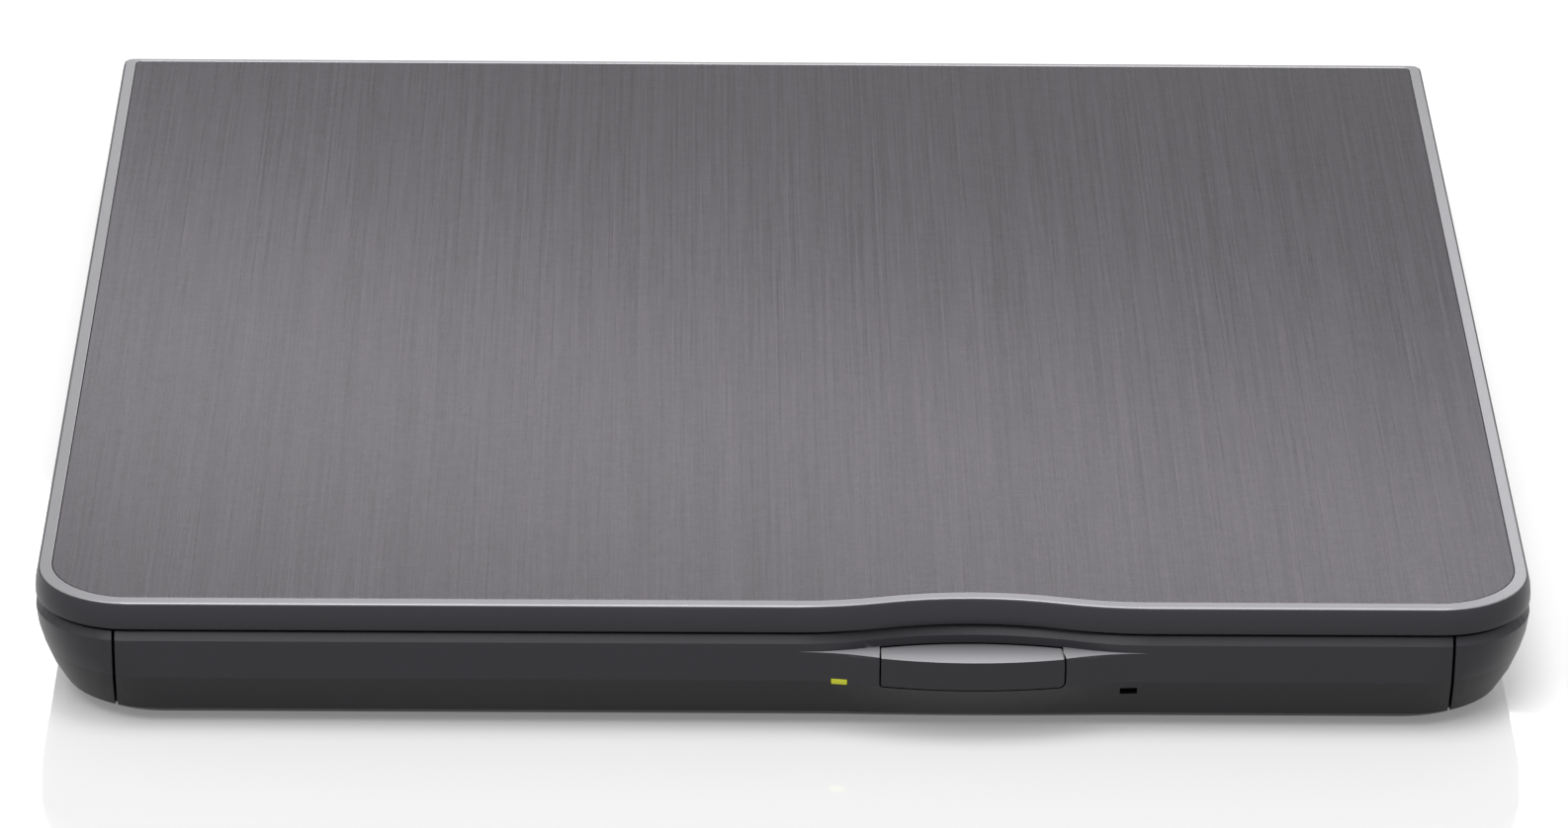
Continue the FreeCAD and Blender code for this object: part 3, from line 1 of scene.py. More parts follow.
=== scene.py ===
"""Looks, stage and camera for the slim optical disc drive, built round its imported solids."""

import collections
import json
import math

import bmesh
import bpy
from bpy.props import FloatProperty, FloatVectorProperty, IntProperty, PointerProperty
from mathutils import Matrix, Vector

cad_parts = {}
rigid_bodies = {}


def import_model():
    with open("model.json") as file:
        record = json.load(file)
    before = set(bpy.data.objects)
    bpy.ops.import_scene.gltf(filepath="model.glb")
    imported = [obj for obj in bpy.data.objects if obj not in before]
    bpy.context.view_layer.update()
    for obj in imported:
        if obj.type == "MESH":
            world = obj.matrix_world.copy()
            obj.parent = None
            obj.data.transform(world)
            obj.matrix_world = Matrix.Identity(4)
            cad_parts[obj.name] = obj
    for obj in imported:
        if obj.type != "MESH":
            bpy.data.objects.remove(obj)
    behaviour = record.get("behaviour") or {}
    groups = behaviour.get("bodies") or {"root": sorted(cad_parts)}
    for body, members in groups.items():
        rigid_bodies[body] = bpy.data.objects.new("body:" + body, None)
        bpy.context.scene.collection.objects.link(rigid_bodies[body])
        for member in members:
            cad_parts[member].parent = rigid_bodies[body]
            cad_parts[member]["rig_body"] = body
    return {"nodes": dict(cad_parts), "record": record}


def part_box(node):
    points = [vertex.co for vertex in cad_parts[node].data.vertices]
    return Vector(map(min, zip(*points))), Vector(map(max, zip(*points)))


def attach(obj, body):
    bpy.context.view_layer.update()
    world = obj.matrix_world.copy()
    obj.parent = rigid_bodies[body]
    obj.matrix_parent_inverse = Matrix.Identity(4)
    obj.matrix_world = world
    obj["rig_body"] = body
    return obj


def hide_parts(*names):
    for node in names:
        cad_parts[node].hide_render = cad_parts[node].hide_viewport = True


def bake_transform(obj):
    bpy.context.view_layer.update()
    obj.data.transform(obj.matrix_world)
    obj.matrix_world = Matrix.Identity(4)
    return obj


bl_info = {
    "name": "Slim Disc Drive",
    "version": (1, 0, 0),
    "blender": (4, 5, 0),
    "location": "View3D > Sidebar > Disc Drive",
    "description": "Dresses the disc drive's solids with its real surfaces and sets the stage",
    "category": "Object",
}

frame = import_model()
NODES = frame["nodes"]
SLOT_OF = {part["node"]: part["material_slot"] for part in frame["record"]["subparts"]}
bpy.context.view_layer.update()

MM = 0.001
WHITE = (1, 1, 1, 1)

# How near counts as the same, and how flat as one face
WELD = 0.002 * MM
CLOSE = 0.01 * MM
FLAT = math.radians(0.3)

# Places and sizes of the solids that the looks follow
CREASE = 5.9 * MM
CREASE_BLUR = 0.05 * MM
# Painted shade: share of the case's colour that is left below the crease
PAINTED_SHADE_BELOW_CREASE = 0.5
BEZEL_FRONT = -71.0 * MM
LEDGE_LEVEL = 9.05 * MM
LEDGE_SLOPE = 0.275
# Painted highlight on the ledge: the height band it covers, the run of its fade, its brighter front and shaded
# back, and how far up a face must point
LEDGE_BAND = 0.6 * MM
LEDGE_FADE = 2.0 * MM
PAINTED_LEDGE_FRONT_HIGHLIGHT, PAINTED_LEDGE_BACK_SHADE = 1.6, 0.4
HIGHLIGHT_FACING_UP = (0.15, 0.5)
STEM_CUT = 0.04 * MM
TRAY_TURN = math.radians(225)
SPINDLE = Vector((0, -4.3, 0)) * MM
STATOR_TEETH = 9
SCREW = {"Radius": 1.0 * MM, "Journal": 0.5 * MM, "Start": 0.05 * MM, "End": 54.0 * MM, "Tail": -3.3 * MM}
SCREW_PLACE = (0, -16.6, 5.8)

# Small detail that the solids leave out
COIL_OUT, COIL_RUN, COIL_MARGIN = 0.56, 0.3, 0.3 * MM
LATCH_TURNS, EJECTOR_TURNS = 3.5, 22.0
THREAD_CREST = 0.55
ROUND, WIRE_SIDES = 24, 8
LEADED_CHIP, SQUARE_CHIP = 2.5 * MM, 0.1 * MM
LEAD_LENGTH, LEAD_HEIGHT = 0.45 * MM, 0.24 * MM
LEAD_REACH = 0.18 * MM
LEAD_MARGIN = 0.8 * MM
USB_CONTACTS, USB_PITCH = 5, 0.8 * MM
USB_CONTACT = (0.35 * MM, 3.4 * MM, 0.1 * MM)
USB_DEPTH, USB_DROP = 3.2 * MM, 0.2 * MM

# The camera, fitted to the photograph
CAMERA_TILT, CAMERA_TURN, CAMERA_ROLL = 0.4243196, 0.0135226, 0.0105888
CAMERA_DISTANCE = 0.866142954
CAMERA_SIDE, CAMERA_DROP = 0.0006908575, 0.010608637
CAMERA_TARGET = Vector((0, 0.001, 0.01378))
PHOTO_FOCUS, PHOTO_WIDTH = 8275.1277, 1586
SENSOR = 36

# Place and size of each lamp
LAMPS = {"key": ((0.042, 0.12, 0.1), (0.3, 0.03)),
         "top": ((0.0, -0.15, 1.1), (0.5, 0.5)),
         "fill": ((-0.3, -0.8, 1.3), (0.8, 0.8))}

Grain = collections.namedtuple("Grain", "scale color rough bump detail")


# Settings

def length(name, description, default):
    return FloatProperty(name=name, description=description, default=default * MM, min=0, unit="LENGTH",
                         precision=5)


def share(name, description, default):
    return FloatProperty(name=name, description=description, default=default, min=0, max=1, subtype="FACTOR")


def colour(name, description, default):
    return FloatVectorProperty(name=name, description=description, default=default, min=0, max=1, size=3,
                               subtype="COLOR")


def power(name, description, default):
    return FloatProperty(name=name, description=description, default=default, min=0, unit="POWER")


class DriveFinish(bpy.types.PropertyGroup):
    plate: colour("Plate", "Brushed metal of the top plate", (0.049, 0.0435, 0.052))
    plate_roughness: share("Plate Roughness", "Mean roughness of the brushed plate", 0.28)
    plate_streaks: share("Plate Streaks", "How much the brushing varies the plate's shade", 0.8)
    trim: colour("Trim", "Satin metal of the rim", (0.3, 0.296, 0.31))
    case: colour("Case", "Dark plastic of the case", (0.036, 0.0355, 0.042))
    button: colour("Button", "Satin paint of the eject button", (0.026, 0.0255, 0.029))
    # Painted highlight: the pale colour laid on the up-facing ledge on and beside the button, for the light that
    # it catches
    ledge: colour("Ledge", "Pale satin paint on top of the button and beside it", (0.26, 0.256, 0.27))
    tray: colour("Tray", "Black plastic of the tray", (0.012, 0.012, 0.013))
    board: colour("Board", "Lacquer of the circuit boards", (0.006, 0.055, 0.02))
    light: colour("Light", "Glow of the status light", (0.62, 0.65, 0.002))
    light_strength: FloatProperty(name="Light Strength", description="Glow of the status light", default=0.5,
                                  min=0)


class DriveDetail(bpy.types.PropertyGroup):
    case_edge: length("Case Edge", "Rounding of the case's edges", 0.18)
    front_edge: length("Front Edge", "Rounding of the bezel's edges", 0.12)
    button_edge: length("Button Edge", "Rounding of the button's edges", 0.26)
    ledge_fall: share("Ledge Fall", "How much the ledge falls forward, as a slope", 0.05)
    metal_edge: length("Metal Edge", "Rounding of sheet metal edges", 0.06)
    plastic_edge: length("Plastic Edge", "Rounding of the small plastic parts", 0.1)
    spring_wire: length("Spring Wire", "Wire diameter of the ejector spring", 0.45)
    latch_wire: length("Latch Wire", "Wire diameter of the latch spring", 0.3)
    winding_wire: length("Winding Wire", "Copper wire of the motor's coils", 0.22)
    thread_pitch: length("Thread Pitch", "Pitch of the lead screw", 3.0)
    thread_depth: length("Thread Depth", "Depth of the lead screw's groove", 0.28)
    lead_pitch: length("Lead Pitch", "Distance between the leads of a chip", 0.65)
    lead_width: length("Lead Width", "Width of a chip's lead", 0.3)
    coil_turns: IntProperty(name="Coil Turns", description="Turns in each of the motor's coils", default=6,
                            min=1)


class DriveStage(bpy.types.PropertyGroup):
    sky: share("Sky", "Strength of the white surroundings on matt surfaces", 0.45)
    key: power("Key", "Power of the soft strip low behind the drive", 0.092)
    top: power("Top", "Power of the soft lamp overhead", 6.0)
    fill: power("Fill", "Power of the soft lamp high in front", 10.0)
    floor: share("Floor", "Shade of the floor", 0.68)
    floor_bounce: share("Floor Bounce", "Shade of the floor that the drive itself sees", 0.12)
    floor_glow: share("Floor Glow", "Share of white that the floor adds for the camera and in gloss", 0.2)
    floor_width: FloatProperty(name="Floor Width", description="Width of the floor", default=6, min=1,
                               unit="LENGTH")


# Node trees

class Tree:
    """A node tree that is being built. Nodes are added with their inputs and settings in one call."""

    def __init__(self, tree):
        self.tree = tree

    def add(self, kind, inputs=None, **settings):
        node = self.tree.nodes.new(kind)
        for key, value in settings.items():
            setattr(node, key, value)
        for key, value in (inputs or {}).items():
            self.feed(node.inputs[key], value)
        return node

    def feed(self, socket, value):
        """Links a socket to another node's output, or sets it to a constant."""
        if isinstance(value, bpy.types.NodeSocket):
            self.tree.links.new(value, socket)
        else:
            socket.default_value = value

    def math(self, operation, *values):
        inputs = {index: value for index, value in enumerate(values)}
        return self.add("ShaderNodeMath", inputs, operation=operation).outputs[0]


class Modelled(Tree):
    """A Geometry Nodes tree with named sizes as its inputs."""

    def __init__(self, name, **sizes):
        super().__init__(bpy.data.node_groups.new(name, "GeometryNodeTree"))
        face = self.tree.interface
        face.new_socket("Geometry", in_out="INPUT", socket_type="NodeSocketGeometry")
        for key, kind in sizes.items():
            face.new_socket(key, in_out="INPUT", socket_type="NodeSocket" + kind)
        face.new_socket("Material", in_out="INPUT", socket_type="NodeSocketMaterial")
        face.new_socket("Geometry", in_out="OUTPUT", socket_type="NodeSocketGeometry")
        self.inputs = self.tree.nodes.new("NodeGroupInput").outputs

    def circle(self, radius, sides):
        return self.add("GeometryNodeCurvePrimitiveCircle", {"Resolution": sides, "Radius": radius}).outputs[0]

    def swept(self, curve, profile):
        """A closed body that a profile leaves along a curve."""
        body = self.add("GeometryNodeCurveToMesh", {"Curve": curve, "Profile Curve": profile, "Fill Caps": True})
        return body.outputs[0]

    def finish(self, geometry, smooth=True):
        shape = self.add("GeometryNodeRealizeInstances", {0: geometry}).outputs[0]
        if smooth:
            shape = self.add("GeometryNodeSetShadeSmooth", {0: shape}).outputs[0]
        painted = self.add("GeometryNodeSetMaterial", {0: shape, "Material": self.inputs["Material"]})
        self.add("NodeGroupOutput", {0: painted.outputs[0]})
        return self.tree


class Shading(Tree):
    """The node tree of a material, with its shader and the nodes that several looks share."""

    def __init__(self, material):
        super().__init__(material.node_tree)
        self.shader = material.node_tree.nodes["Principled BSDF"]

    def set(self, name, value):
        self.feed(self.shader.inputs[name], value)

    def color(self):
        """What the shader's colour comes from so far."""
        return self.shader.inputs["Base Color"].links[0].from_socket

    def place(self):
        return self.add("ShaderNodeTexCoord").outputs["Object"]

    def parts(self, vector):
        return self.add("ShaderNodeSeparateXYZ", {0: vector}).outputs

    def scaled(self, color, factor):
        return self.add("ShaderNodeVectorMath", {0: color, 3: factor}, operation="SCALE").outputs[0]

    def ranged(self, value, start, end, low=0.0, high=1.0):
        """Runs from low to high while the value goes from start to end."""
        return self.add("ShaderNodeMapRange", {"Value": value, "From Min": start, "From Max": end,
                                               "To Min": low, "To Max": high}).outputs[0]

    def cover(self, share, color):
        """Lays a colour over the shader's own, by a share."""
        over = self.add("ShaderNodeMix", {0: share, 6: self.color(), 7: color}, data_type="RGBA")
        self.set("Base Color", over.outputs[2])


def added(name, data):
    """A new object in the scene."""
    piece = bpy.data.objects.new(name, data)
    bpy.context.scene.collection.objects.link(piece)
    return piece


def modelled(name, tree, material, base=None, **sizes):
    """Runs a Geometry Nodes tree on a base mesh and keeps its result as a plain mesh."""
    piece = added(name, base or bpy.data.meshes.new(name))
    modifier = piece.modifiers.new(name, "NODES")
    modifier.node_group = tree
    sockets = {item.name: item.identifier for item in tree.interface.items_tree if item.in_out == "INPUT"}
    modifier[sockets["Material"]] = material
    for key, value in sizes.items():
        modifier[sockets[key]] = value
    return settled(piece)


def settled(piece):
    """Turns a piece and its modifiers into one plain mesh."""
    bpy.context.view_layer.update()
    seen = piece.evaluated_get(bpy.context.evaluated_depsgraph_get())
    mesh = bpy.data.meshes.new_from_object(seen)
    piece.modifiers.clear()
    piece.data = mesh
    if not mesh.polygons:
        raise RuntimeError(piece.name + " came out empty")
    return piece


# Surfaces

def layered(name, color, roughness, layers, **sockets):
    """A material whose shade, roughness and height vary by layers of grain, each with a scale per metre."""
    material = bpy.data.materials.new(name)
    material.use_nodes = True
    tree = Shading(material)
    for key, value in sockets.items():
        tree.set(key.replace("_", " "), value)
    place = tree.place()
    tint = 1.0 - sum(layer.color for layer in layers)
    rough = roughness - sum(layer.rough for layer in layers)
    height = 0.0
    for layer in layers:
        spread = tree.add("ShaderNodeMapping", {"Vector": place, "Scale": layer.scale})
        noise = tree.add("ShaderNodeTexNoise", {"Vector": spread.outputs[0], "Scale": 1.0,
                                                "Detail": layer.detail})
        value = noise.outputs["Fac"]
        if layer.color:
            tint = tree.math("MULTIPLY_ADD", value, 2 * layer.color, tint)
        if layer.rough:
            rough = tree.math("MULTIPLY_ADD", value, 2 * layer.rough, rough)
        if layer.bump:
            height = tree.math("MULTIPLY_ADD", value, layer.bump * MM, height)
    tree.set("Base Color", tree.scaled(tuple(color), tint))
    tree.set("Roughness", rough)
    if isinstance(height, bpy.types.NodeSocket):
        bump = tree.add("ShaderNodeBump", {"Strength": 1.0, "Distance": 1.0, "Height": height})
        tree.set("Normal", bump.outputs[0])
    return material


def even(scale, color=0.0, rough=0.0, bump=0.0, detail=2.0):
    return Grain((scale, scale, scale), color, rough, bump, detail)


def along(axis, across, length_scale, color=0.0, rough=0.0, bump=0.0, detail=2.0):
    """Grain that runs along one axis."""
    scale = [across, across, across]
    scale["XYZ".index(axis)] = length_scale
    return Grain(tuple(scale), color, rough, bump, detail)


def brushed_plate():
    look = bpy.context.scene.drive_finish
    streaks = look.plate_streaks
    layers = [along("Y", 4200, 16, streaks * 0.7, 0.03, 0.0001, 3.0),
              along("Y", 6400, 70, streaks * 0.6, 0.02),
              even(5200, streaks * 0.6),
              along("X", 2200, 600, streaks * 0.3),
              along("Y", 420, 6, 0.06, 0.02)]
    material = layered("brushed_plate", look.plate, look.plate_roughness, layers, Metallic=1.0,
                       Anisotropic=0.55)
    tree = Shading(material)
    tree.set("Tangent", tree.add("ShaderNodeTangent", direction_type="RADIAL", axis="X").outputs[0])
    return material


def trim_metal():
    look = bpy.context.scene.drive_finish
    layers = [even(9000, 0.03, 0.04, 0.0004), even(120, 0.03, 0.02)]
    return layered("trim_metal", look.trim, 0.48, layers, Metallic=1.0)


def moulded(name, color, roughness, depth, **sockets):
    """Spark-eroded plastic: a fine even grain with a slow drift in shade and gloss."""
    layers = [even(5200, 0.05, 0.03, depth, 3.0), even(1500, 0.04, 0.02, depth / 2), even(60, 0.06, 0.03)]
    return layered(name, color, roughness, layers, **sockets)


def painted_shade_below_crease(material):
    """Painted shade: the base colour is darkened below the crease that runs round the case, where the band faces
    down and lies in shade.
    """
    tree = Shading(material)
    height = tree.parts(tree.place())["Z"]
    shade = tree.ranged(height, CREASE - CREASE_BLUR, CREASE + CREASE_BLUR, low=PAINTED_SHADE_BELOW_CREASE)
    tree.set("Base Color", tree.scaled(tree.color(), shade))
    return material


def painted_ledge_highlight(material):
    """Painted highlight: paler colour on what faces up at the ledge's level, brightest at its front edge and
    darkened by painted shade towards the wall behind it.
    """
    tree = Shading(material)
    place = tree.parts(tree.place())
    facing = tree.parts(tree.add("ShaderNodeNewGeometry").outputs["Normal"])["Z"]
    upward = tree.ranged(facing, *HIGHLIGHT_FACING_UP)
    near = tree.math("COMPARE", place["Z"], LEDGE_LEVEL - LEDGE_BAND / 2, LEDGE_BAND)
    fade = tree.ranged(place["Y"], BEZEL_FRONT - LEDGE_FADE, BEZEL_FRONT + LEDGE_FADE,
                       PAINTED_LEDGE_FRONT_HIGHLIGHT, PAINTED_LEDGE_BACK_SHADE)
    pale = tree.scaled(tuple(bpy.context.scene.drive_finish.ledge), fade)
    tree.cover(tree.math("MULTIPLY", upward, near), pale)
    return material


def case_plastic():
    look = bpy.context.scene.drive_finish
    # The case is darker below its crease by painted shade.
    return painted_shade_below_crease(moulded("case_plastic", look.case, 0.36, 0.002, Specular_IOR_Level=0.25))


def bezel_plastic():
    look = bpy.context.scene.drive_finish
    # The bezel gets painted shade below its crease and a painted highlight on its ledge.
    return painted_ledge_highlight(painted_shade_below_crease(moulded("bezel_plastic", look.case, 0.34, 0.002, Specular_IOR_Level=0.25)))


def button_plastic():
    look = bpy.context.scene.drive_finish
    layers = [even(12000, 0.08, 0.04, 0.0006, 3.0), even(140, 0.03, 0.02)]
    # The button gets a painted highlight on its ledge.
    return painted_ledge_highlight(layered("button_plastic", look.button, 0.3, layers, Specular_IOR_Level=0.3))


def tray_plastic():
    return moulded("tray_plastic", bpy.context.scene.drive_finish.tray, 0.42, 0.006)


def guide_plastic():
    return moulded("guide_plastic", (0.03, 0.03, 0.032), 0.34, 0.002)


def claw_plastic():
    return moulded("claw_plastic", (0.5, 0.5, 0.47), 0.38, 0.002)


def connector_plastic():
    return moulded("connector_plastic", (0.022, 0.022, 0.022), 0.45, 0.003)


def rubber(name, color):
    layers = [even(3500, 0.1, 0.05, 0.008, 4.0), even(300, 0.08, 0.04)]
    return layered(name, color, 0.72, layers, Specular_IOR_Level=0.3)


def foot_rubber():
    return rubber("foot_rubber", (0.02, 0.02, 0.021))


def black_rubber():
    return rubber("black_rubber", (0.014, 0.014, 0.014))


def plated(name, color, roughness, axis, across=1200, run=60, wear=0.06):
    """Sheet metal with its rolling lines along one axis and slow clouding."""
    layers = [along(axis, across, run, wear, 0.05, 0.0004), even(220, wear, 0.04), even(40, wear / 2, 0.03)]
    return layered(name, color, roughness, layers, Metallic=1.0)


def sheet_steel():
    return plated("sheet_steel", (0.5, 0.5, 0.49), 0.34, "Y")


def frame_steel():
    return plated("frame_steel", (0.42, 0.42, 0.42), 0.38, "X")


def rail_steel():
    return plated("rail_steel", (0.58, 0.58, 0.57), 0.24, "Y", 3000, 30)


def shaft_steel():
    return plated("shaft_steel", (0.66, 0.66, 0.65), 0.14, "Z", 2500, 800, 0.02)


def screw_steel():
    layers = [even(6000, 0.08, 0.05, 0.0006), even(500, 0.06, 0.05)]
    return layered("screw_steel", (0.14, 0.14, 0.145), 0.3, layers, Metallic=1.0)


def spring_steel():
    layers = [even(5000, 0.06, 0.05, 0.0004), even(400, 0.05, 0.04)]
    return layered("spring_steel", (0.48, 0.47, 0.45), 0.22, layers, Metallic=1.0)


def carriage_metal():
    layers = [even(2600, 0.08, 0.06, 0.01, 4.0), even(180, 0.06, 0.04)]
    return layered("carriage_metal", (0.36, 0.36, 0.37), 0.46, layers, Metallic=1.0)


def actuator_cover():
    return plated("actuator_cover", (0.09, 0.09, 0.095), 0.3, "X", 2400, 80)


def stator_copper():
    layers = [even(4200, 0.1, 0.06, 0.001), even(600, 0.06, 0.04)]
    return layered("stator_copper", (0.62, 0.22, 0.07), 0.26, layers, Metallic=1.0, Coat_Weight=0.5)


def chip_black():
    layers = [even(4200, 0.12, 0.05, 0.003, 4.0), even(350, 0.1, 0.04)]
    return layered("chip_black", (0.014, 0.014, 0.015), 0.52, layers)


def lens_glass():
    layers = [even(300, 0.05, 0.02)]
    return layered("lens_glass", (0.05, 0.07, 0.16), 0.04, layers, Coat_Weight=1.0, Coat_Roughness=0.02,
                   IOR=1.6)


def glowing(name, strength):
    look = bpy.context.scene.drive_finish
    layers = [even(2500, 0.06, 0.04, 0.001)]
    return layered(name, tuple(0.3 * part for part in look.light), 0.22, layers, IOR=1.5,
                   Emission_Color=(*look.light, 1), Emission_Strength=strength * look.light_strength)


def light_pipe():
    return glowing("light_pipe", 1.0)


def lamp():
    return glowing("lamp", 1.6)


def board_green():
    """Lacquered board: copper tracks that follow the corners of a lattice, tinned pads between them."""
    look = bpy.context.scene.drive_finish
    layers = [even(3000, 0.08, 0.04, 0.002), even(150, 0.06, 0.03)]
    material = layered("board_green", look.board, 0.24, layers, Coat_Weight=0.3)
    tree = Shading(material)
    flat = tree.add("ShaderNodeMapping", {"Vector": tree.place(), "Scale": (1, 1, 0)}).outputs[0]
    tracks_across_cell, gap, lighter, pad_radius = 7.0, 0.6, 0.9, 0.16
    cells = tree.add("ShaderNodeTexVoronoi", {"Vector": flat, "Scale": 150.0, "Randomness": 0.9},
                     distance="CHEBYCHEV").outputs["Distance"]
    waves = tree.math("FRACT", tree.math("MULTIPLY", cells, tracks_across_cell))
    track = tree.math("GREATER_THAN", waves, gap)
    pads = tree.add("ShaderNodeTexVoronoi", {"Vector": flat, "Scale": 260.0, "Randomness": 0.8})
    pad = tree.math("LESS_THAN", pads.outputs["Distance"], pad_radius)
    tree.set("Base Color", tree.scaled(tree.color(), tree.math("MULTIPLY_ADD", track, lighter, 1.0)))
    tree.cover(pad, (0.55, 0.54, 0.5, 1))
    tree.set("Metallic", pad)
    return material


def flex_film():
    """Amber film with copper tracks that run along the cable."""
    layers = [even(900, 0.05, 0.05, 0.002)]
    material = layered("flex_film", (0.32, 0.13, 0.03), 0.28, layers, Coat_Weight=0.4)
    tree = Shading(material)
    across = tree.parts(tree.place())["X"]
    tracks_per_metre, gap = 1600.0, 0.45
    wave = tree.math("FRACT", tree.math("MULTIPLY", across, tracks_per_metre))
    tree.cover(tree.math("GREATER_THAN", wave, gap), (0.5, 0.24, 0.08, 1))
    return material


SURFACES = {make.__name__: make for make in (
    case_plastic, bezel_plastic, button_plastic, trim_metal, brushed_plate, foot_rubber, black_rubber,
    screw_steel, sheet_steel, frame_steel, guide_plastic, rail_steel, tray_plastic, light_pipe, lamp,
    shaft_steel, stator_copper, claw_plastic, spring_steel, carriage_metal, actuator_cover, lens_glass,
    board_green, chip_black, connector_plastic, flex_film)}
READY = {}


def surface(slot):
    """The material of a slot of the record, made when it is first asked for."""
    if slot not in READY:
        READY[slot] = SURFACES[slot]()
    return READY[slot]


def paint(piece, slot):
    piece.data.materials.clear()
    piece.data.materials.append(surface(slot))


# Forms

def welded(node):
    """The loose triangles of a CAD node as one connected form."""
    form = bmesh.new()
    form.from_mesh(NODES[node].data)
    bmesh.ops.remove_doubles(form, verts=form.verts, dist=WELD)
    return form


def skin(node, form):
    """A new object with the given form, named after its node."""
    mesh = NODES[node].data.copy()
    form.to_mesh(mesh)
    form.free()
    return added(node + "_skin", mesh)


def merged(node, bevel=0.0, segments=2, crease=14.0, reshape=None):
    """A copy of a CAD node with its triangles merged into faces, its edges rounded and its curves smooth."""
    form = welded(node)
    if reshape:
        reshape(form)
    bmesh.ops.dissolve_limit(form, angle_limit=FLAT, verts=form.verts, edges=form.edges)
    for face in form.faces:
        face.smooth = True
    piece = skin(node, form)
    piece.data.set_sharp_from_angle(angle=math.radians(crease))
    if bevel:
        edge = piece.modifiers.new("edge", "BEVEL")
        edge.width = bevel
        edge.segments = segments
        edge.limit_method = "ANGLE"
        edge.angle_limit = math.radians(crease)
        edge.harden_normals = True
        edge.miter_outer = "MITER_ARC"
    even_out = piece.modifiers.new("normals", "WEIGHTED_NORMAL")
    even_out.keep_sharp = True
    keep_on(settled(piece), node)


def keep_on(piece, node):
    """The piece stands for the node, moves with its body and has its finish."""
    paint(piece, SLOT_OF[node])
    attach(piece, NODES[node]["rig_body"])
    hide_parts(node)


def dress(*nodes, **settings):
    for node in nodes:
        merged(node, **settings)


def islands(node):
    """Lowest and highest corner of each separate solid in a CAD node."""
    form = welded(node)
    left = set(form.verts)
    boxes = []
    while left:
        edge = [left.pop()]
        found = []
        while edge:
            vert = edge.pop()
            found.append(vert.co.copy())
            for link in vert.link_edges:
                other = link.other_vert(vert)
                if other in left:
                    left.remove(other)
                    edge.append(other)
        low = Vector([min(point[axis] for point in found) for axis in range(3)])
        high = Vector([max(point[axis] for point in found) for axis in range(3)])
        boxes.append((low, high))
    form.free()
    return sorted(boxes, key=lambda box: tuple(box[0]))


def tray_place(u, v, z):
    """A point of the traverse unit: u along the pickup's path, v across it, in millimetres."""
    turn = Matrix.Rotation(TRAY_TURN, 3, "Z")
    return SPINDLE + turn @ (Vector((u, v, z)) * MM)


def points_mesh(name, places):
    """Points with a turn about Z, for a Geometry Nodes tree to put copies on."""
    mesh = bpy.data.meshes.new(name)
    mesh.from_pydata([place for place, turn in places], [], [])
    turns = mesh.attributes.new("turn", "FLOAT", "POINT")
    for index, (place, turn) in enumerate(places):
        turns.data[index].value = turn
    return mesh


def block_tree():
    """Blocks of one size on points, each turned by its point's own angle."""
    tree = Modelled("blocks", Size="Vector")
    block = tree.add("GeometryNodeMeshCube", {"Size": tree.inputs["Size"]})
    turn = tree.add("GeometryNodeInputNamedAttribute", {"Name": "turn"}, data_type="FLOAT")
    angle = tree.add("ShaderNodeCombineXYZ", {"Z": turn.outputs[0]})
    copies = tree.add("GeometryNodeInstanceOnPoints", {"Points": tree.inputs["Geometry"],
                                                       "Instance": block.outputs[0],
                                                       "Rotation": angle.outputs[0]})
    return tree.finish(copies.outputs[0], smooth=False)


def coil_tree():
    """A wire that winds round Z, then is turned and moved to its place."""
    tree = Modelled("coil", Radius="Float", Height="Float", Turns="Float", Wire="Float", Turn="Vector",
                    Place="Vector")
    line = tree.add("GeometryNodeCurveSpiral", {"Resolution": ROUND, "Rotations": tree.inputs["Turns"],
                                                "Start Radius": tree.inputs["Radius"],
                                                "End Radius": tree.inputs["Radius"],
                                                "Height": tree.inputs["Height"]})
    wire = tree.swept(line.outputs[0], tree.circle(tree.inputs["Wire"], WIRE_SIDES))
    placed = tree.add("GeometryNodeTransform", {"Geometry": wire, "Rotation": tree.inputs["Turn"],
                                                "Translation": tree.inputs["Place"]})
    return tree.finish(placed.outputs[0])


